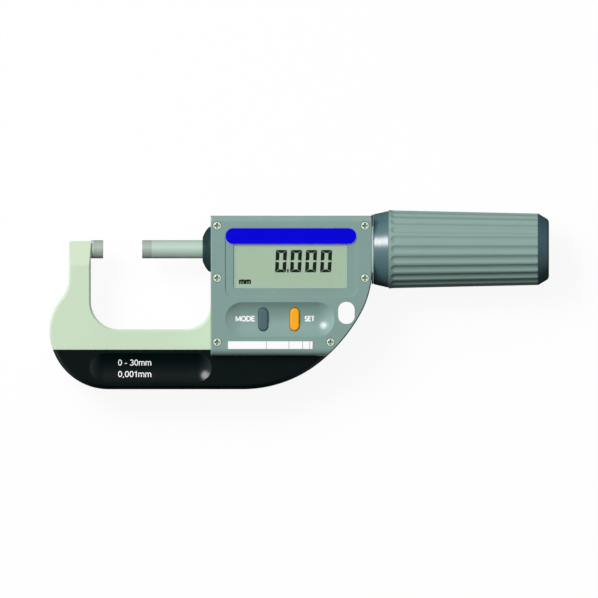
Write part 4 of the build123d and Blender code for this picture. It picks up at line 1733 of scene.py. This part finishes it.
@dataclass
class Thimble(Assembly):
    """Bright ring, dark collar, fluted grip and cap on the measuring line.

    Attributes:
        ring_reach: how far the polished ring reaches towards the housing.
        ring_front: radius of the polished ring next to the housing.
        ring_back: radius of the polished ring next to the collar.
        collar_gap: air between the polished ring and the collar.
        collar_front: radius of the collar's front edge.
        collar_step: how much lower the collar ends than the grip begins.
        collar_round: rounding of that edge.
        bore: radius of the sleeve's bore.
        core: radius of the core inside the grip.
        room: radius of the room for the lead sleeve's flange.
        room_length: length of that room in the core.
        flutes: how many flutes there are.
        flute: radius of a flute.
        flute_depth: depth of a flute.
        rim: how far behind the grip's front edge the flutes' ball ends are centred.
        soften: rounding of the ridges between flutes.
        samples: points round the grip in one flute's share.
        end_rings: rings of points along the flutes' ball ends.
        long_rings: rings of points along the rest of the flutes.
        cap_face: radius of the cap's end.
        cap_round: rounding of the cap's end.
        cap_gap: air between the cap's spigot and the core.
        cap_wall: wall of the spigot inside the cap.
        cap_dish: depth of the turned dish in the cap's end.
        edge: rounding of small edges.
    """

    ring_reach: float = 0.22 * MM
    ring_front: float = 12.5 * MM
    ring_back: float = 12.28 * MM
    collar_gap: float = 0.03 * MM
    collar_front: float = 12.5 * MM
    collar_step: float = 0.3 * MM
    collar_round: float = 0.4 * MM
    bore: float = 9.2 * MM
    core: float = 11.0 * MM
    room: float = 10.0 * MM
    room_length: float = 2.1 * MM
    flutes: int = 24
    flute: float = 2.2 * MM
    flute_depth: float = 0.5 * MM
    rim: float = 2.3 * MM
    soften: float = 0.12 * MM
    samples: int = 16
    end_rings: int = 10
    long_rings: int = 13
    cap_face: float = 10.5 * MM
    cap_round: float = 1.0 * MM
    cap_gap: float = 0.01875 * MM
    cap_wall: float = 0.95 * MM
    cap_dish: float = 0.3 * MM
    edge: float = 0.15 * MM

    def ring(self) -> None:
        """Bright ring between housing and thimble."""
        ring = Place.of("barrel_ring")
        start = ring.low.x - self.ring_reach
        bore = Place.of("guide_tube").radius
        outline = rounded(
            [
                Corner(start, bore),
                Corner(start, self.ring_front),
                Corner(ring.high.x, self.ring_back),
                Corner(ring.high.x, bore),
            ]
        )
        mesh = turned("barrel_ring_bright", outline)
        piece(mesh, Palette.bright, "body", "ground_steel", "barrel_ring")

    def collar(self) -> None:
        """Dark collar with the core behind it, close to the bright ring."""
        start = Place.of("barrel_ring").high.x + self.collar_gap
        grip = Place.of("thimble_grip")
        flange = Place.of("lead_sleeve").high.x - self.room_length
        outline = rounded(
            [
                Corner(start, self.bore, self.edge),
                Corner(start, self.collar_front, self.collar_round),
                Corner(grip.low.x, grip.radius - self.collar_step, self.edge),
                Corner(grip.low.x, self.core),
                Corner(grip.high.x, self.core),
                Corner(grip.high.x, self.room),
                Corner(flange, self.room),
                Corner(flange, self.bore),
            ]
        )
        mesh = turned("thimble_collar", outline)
        piece(mesh, Palette.slate, "thimble", "thimble_slate", "thimble_core")

    def profile(self, x: float, radius: float, turns: np.ndarray, end: float) -> np.ndarray:
        """Distance from the measuring line round the grip at one place.

        Args:
            x: place along the measuring line.
            radius: radius of the plain taper there.
            turns: angles from the middle of the nearest flute.
            end: place where the flutes' ball ends are centred.

        Returns:
            The radius at each angle.
        """
        ball = max(0.0, self.flute**2 - max(0.0, end - x) ** 2)
        centre = radius - self.flute_depth + self.flute
        inside = ball - (centre * np.sin(turns)) ** 2
        floor = centre * np.cos(turns) - np.sqrt(np.maximum(inside, 0))
        cut = np.where(inside > 0, floor, radius)
        share = np.clip(0.5 + 0.5 * (radius - cut) / self.soften, 0, 1)
        blend = radius * (1 - share) + cut * share - self.soften * share * (1 - share)
        return np.minimum(blend, radius)

    def grip(self) -> None:
        """Tapered grip with ball-ended flutes."""
        grip = Place.of("thimble_grip")
        front = grip.low.x
        back = grip.high.x
        narrowing = (Place.of("thimble_cap").radius - grip.radius) / (back - front)
        end = front + self.rim
        start = end - math.sqrt(self.flute**2 - (self.flute - self.flute_depth) ** 2)
        sides = self.flutes * self.samples
        turns = np.arange(sides) * 2 * math.pi / sides
        share = 2 * math.pi / self.flutes
        local = (turns + share / 2) % share - share / 2
        places = [front, front + self.edge, (front + start) / 2]
        places += list(np.linspace(start, end, self.end_rings))
        places += list(np.linspace(end, back - self.edge, self.long_rings + 1)[1:])
        places.append(back)
        rings = [(front, np.full(sides, self.core))]
        for x in places:
            ring = self.profile(x, grip.radius + narrowing * (x - front), local, end)
            rings.append((x, ring - self.edge if x in (front, back) else ring))
        rings.append((back, np.full(sides, self.core)))
        surface = [
            np.column_stack((np.full(sides, x), -ring * np.sin(turns), ring * np.cos(turns)))
            for x, ring in rings
        ]
        mesh = skin("thimble_grip_fluted", np.array(surface), True)
        piece(mesh, Palette.satin, "thimble", "grip_grey", "thimble_grip")

    def cap(self) -> None:
        """End cap with its rounded face and the spigot inside."""
        cap = Place.of("thimble_cap")
        joint = Place.of("thimble_grip").high.x
        spigot = self.room - self.cap_gap
        inner = spigot - self.cap_wall
        outline = rounded(
            [
                Corner(joint, 0.0),
                Corner(joint, inner),
                Corner(cap.low.x, inner),
                Corner(cap.low.x, spigot),
                Corner(joint, spigot),
                Corner(joint, cap.radius, self.edge),
                Corner(cap.high.x, self.cap_face, self.cap_round),
                Corner(cap.high.x, inner, self.edge),
                Corner(cap.high.x - self.cap_dish, inner - self.cap_dish, self.edge),
                Corner(cap.high.x - self.cap_dish, 0.0),
            ]
        )
        mesh = turned("thimble_cap_end", outline[1:-1], False)
        piece(mesh, Palette.cap, "thimble", "thimble_slate", "thimble_cap")

    def build(self) -> None:
        """Build every visible piece of the thimble."""
        self.ring()
        self.collar()
        self.grip()
        self.cap()


class Inside(Assembly):
    """Pieces that the housing and the thimble hide."""

    def build(self) -> None:
        """Dress each of them."""
        dress(Palette.board, "circuit_board", "read_head")
        dress(Palette.brass, "scale_target", "battery_contact", "spindle_bush", "guide_nut")
        dress(Palette.screw, "board_screws")
        dress(Palette.steel, "battery", "spindle_carriage", "guide_tube", "lead_sleeve")
        dress(Palette.base, "scale_carrier", "follower_pin")
        dress(Palette.rubber, "wiper_seal")
        dress(Palette.leaf, "clutch_spring", "thrust_washer_front", "thrust_washer_rear")


def main() -> None:
    """Build the studio and every sub-assembly."""
    logging.basicConfig(level=logging.INFO, format="%(message)s")
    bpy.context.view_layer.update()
    Studio().build()
    for kind in (MeasuringLine, Grips, Housing, DisplayPanel, ButtonField, Thimble, Inside):
        LOG.info("sub-assembly %s", kind.__name__)
        kind().build()


if __name__ == "__main__":
    main()
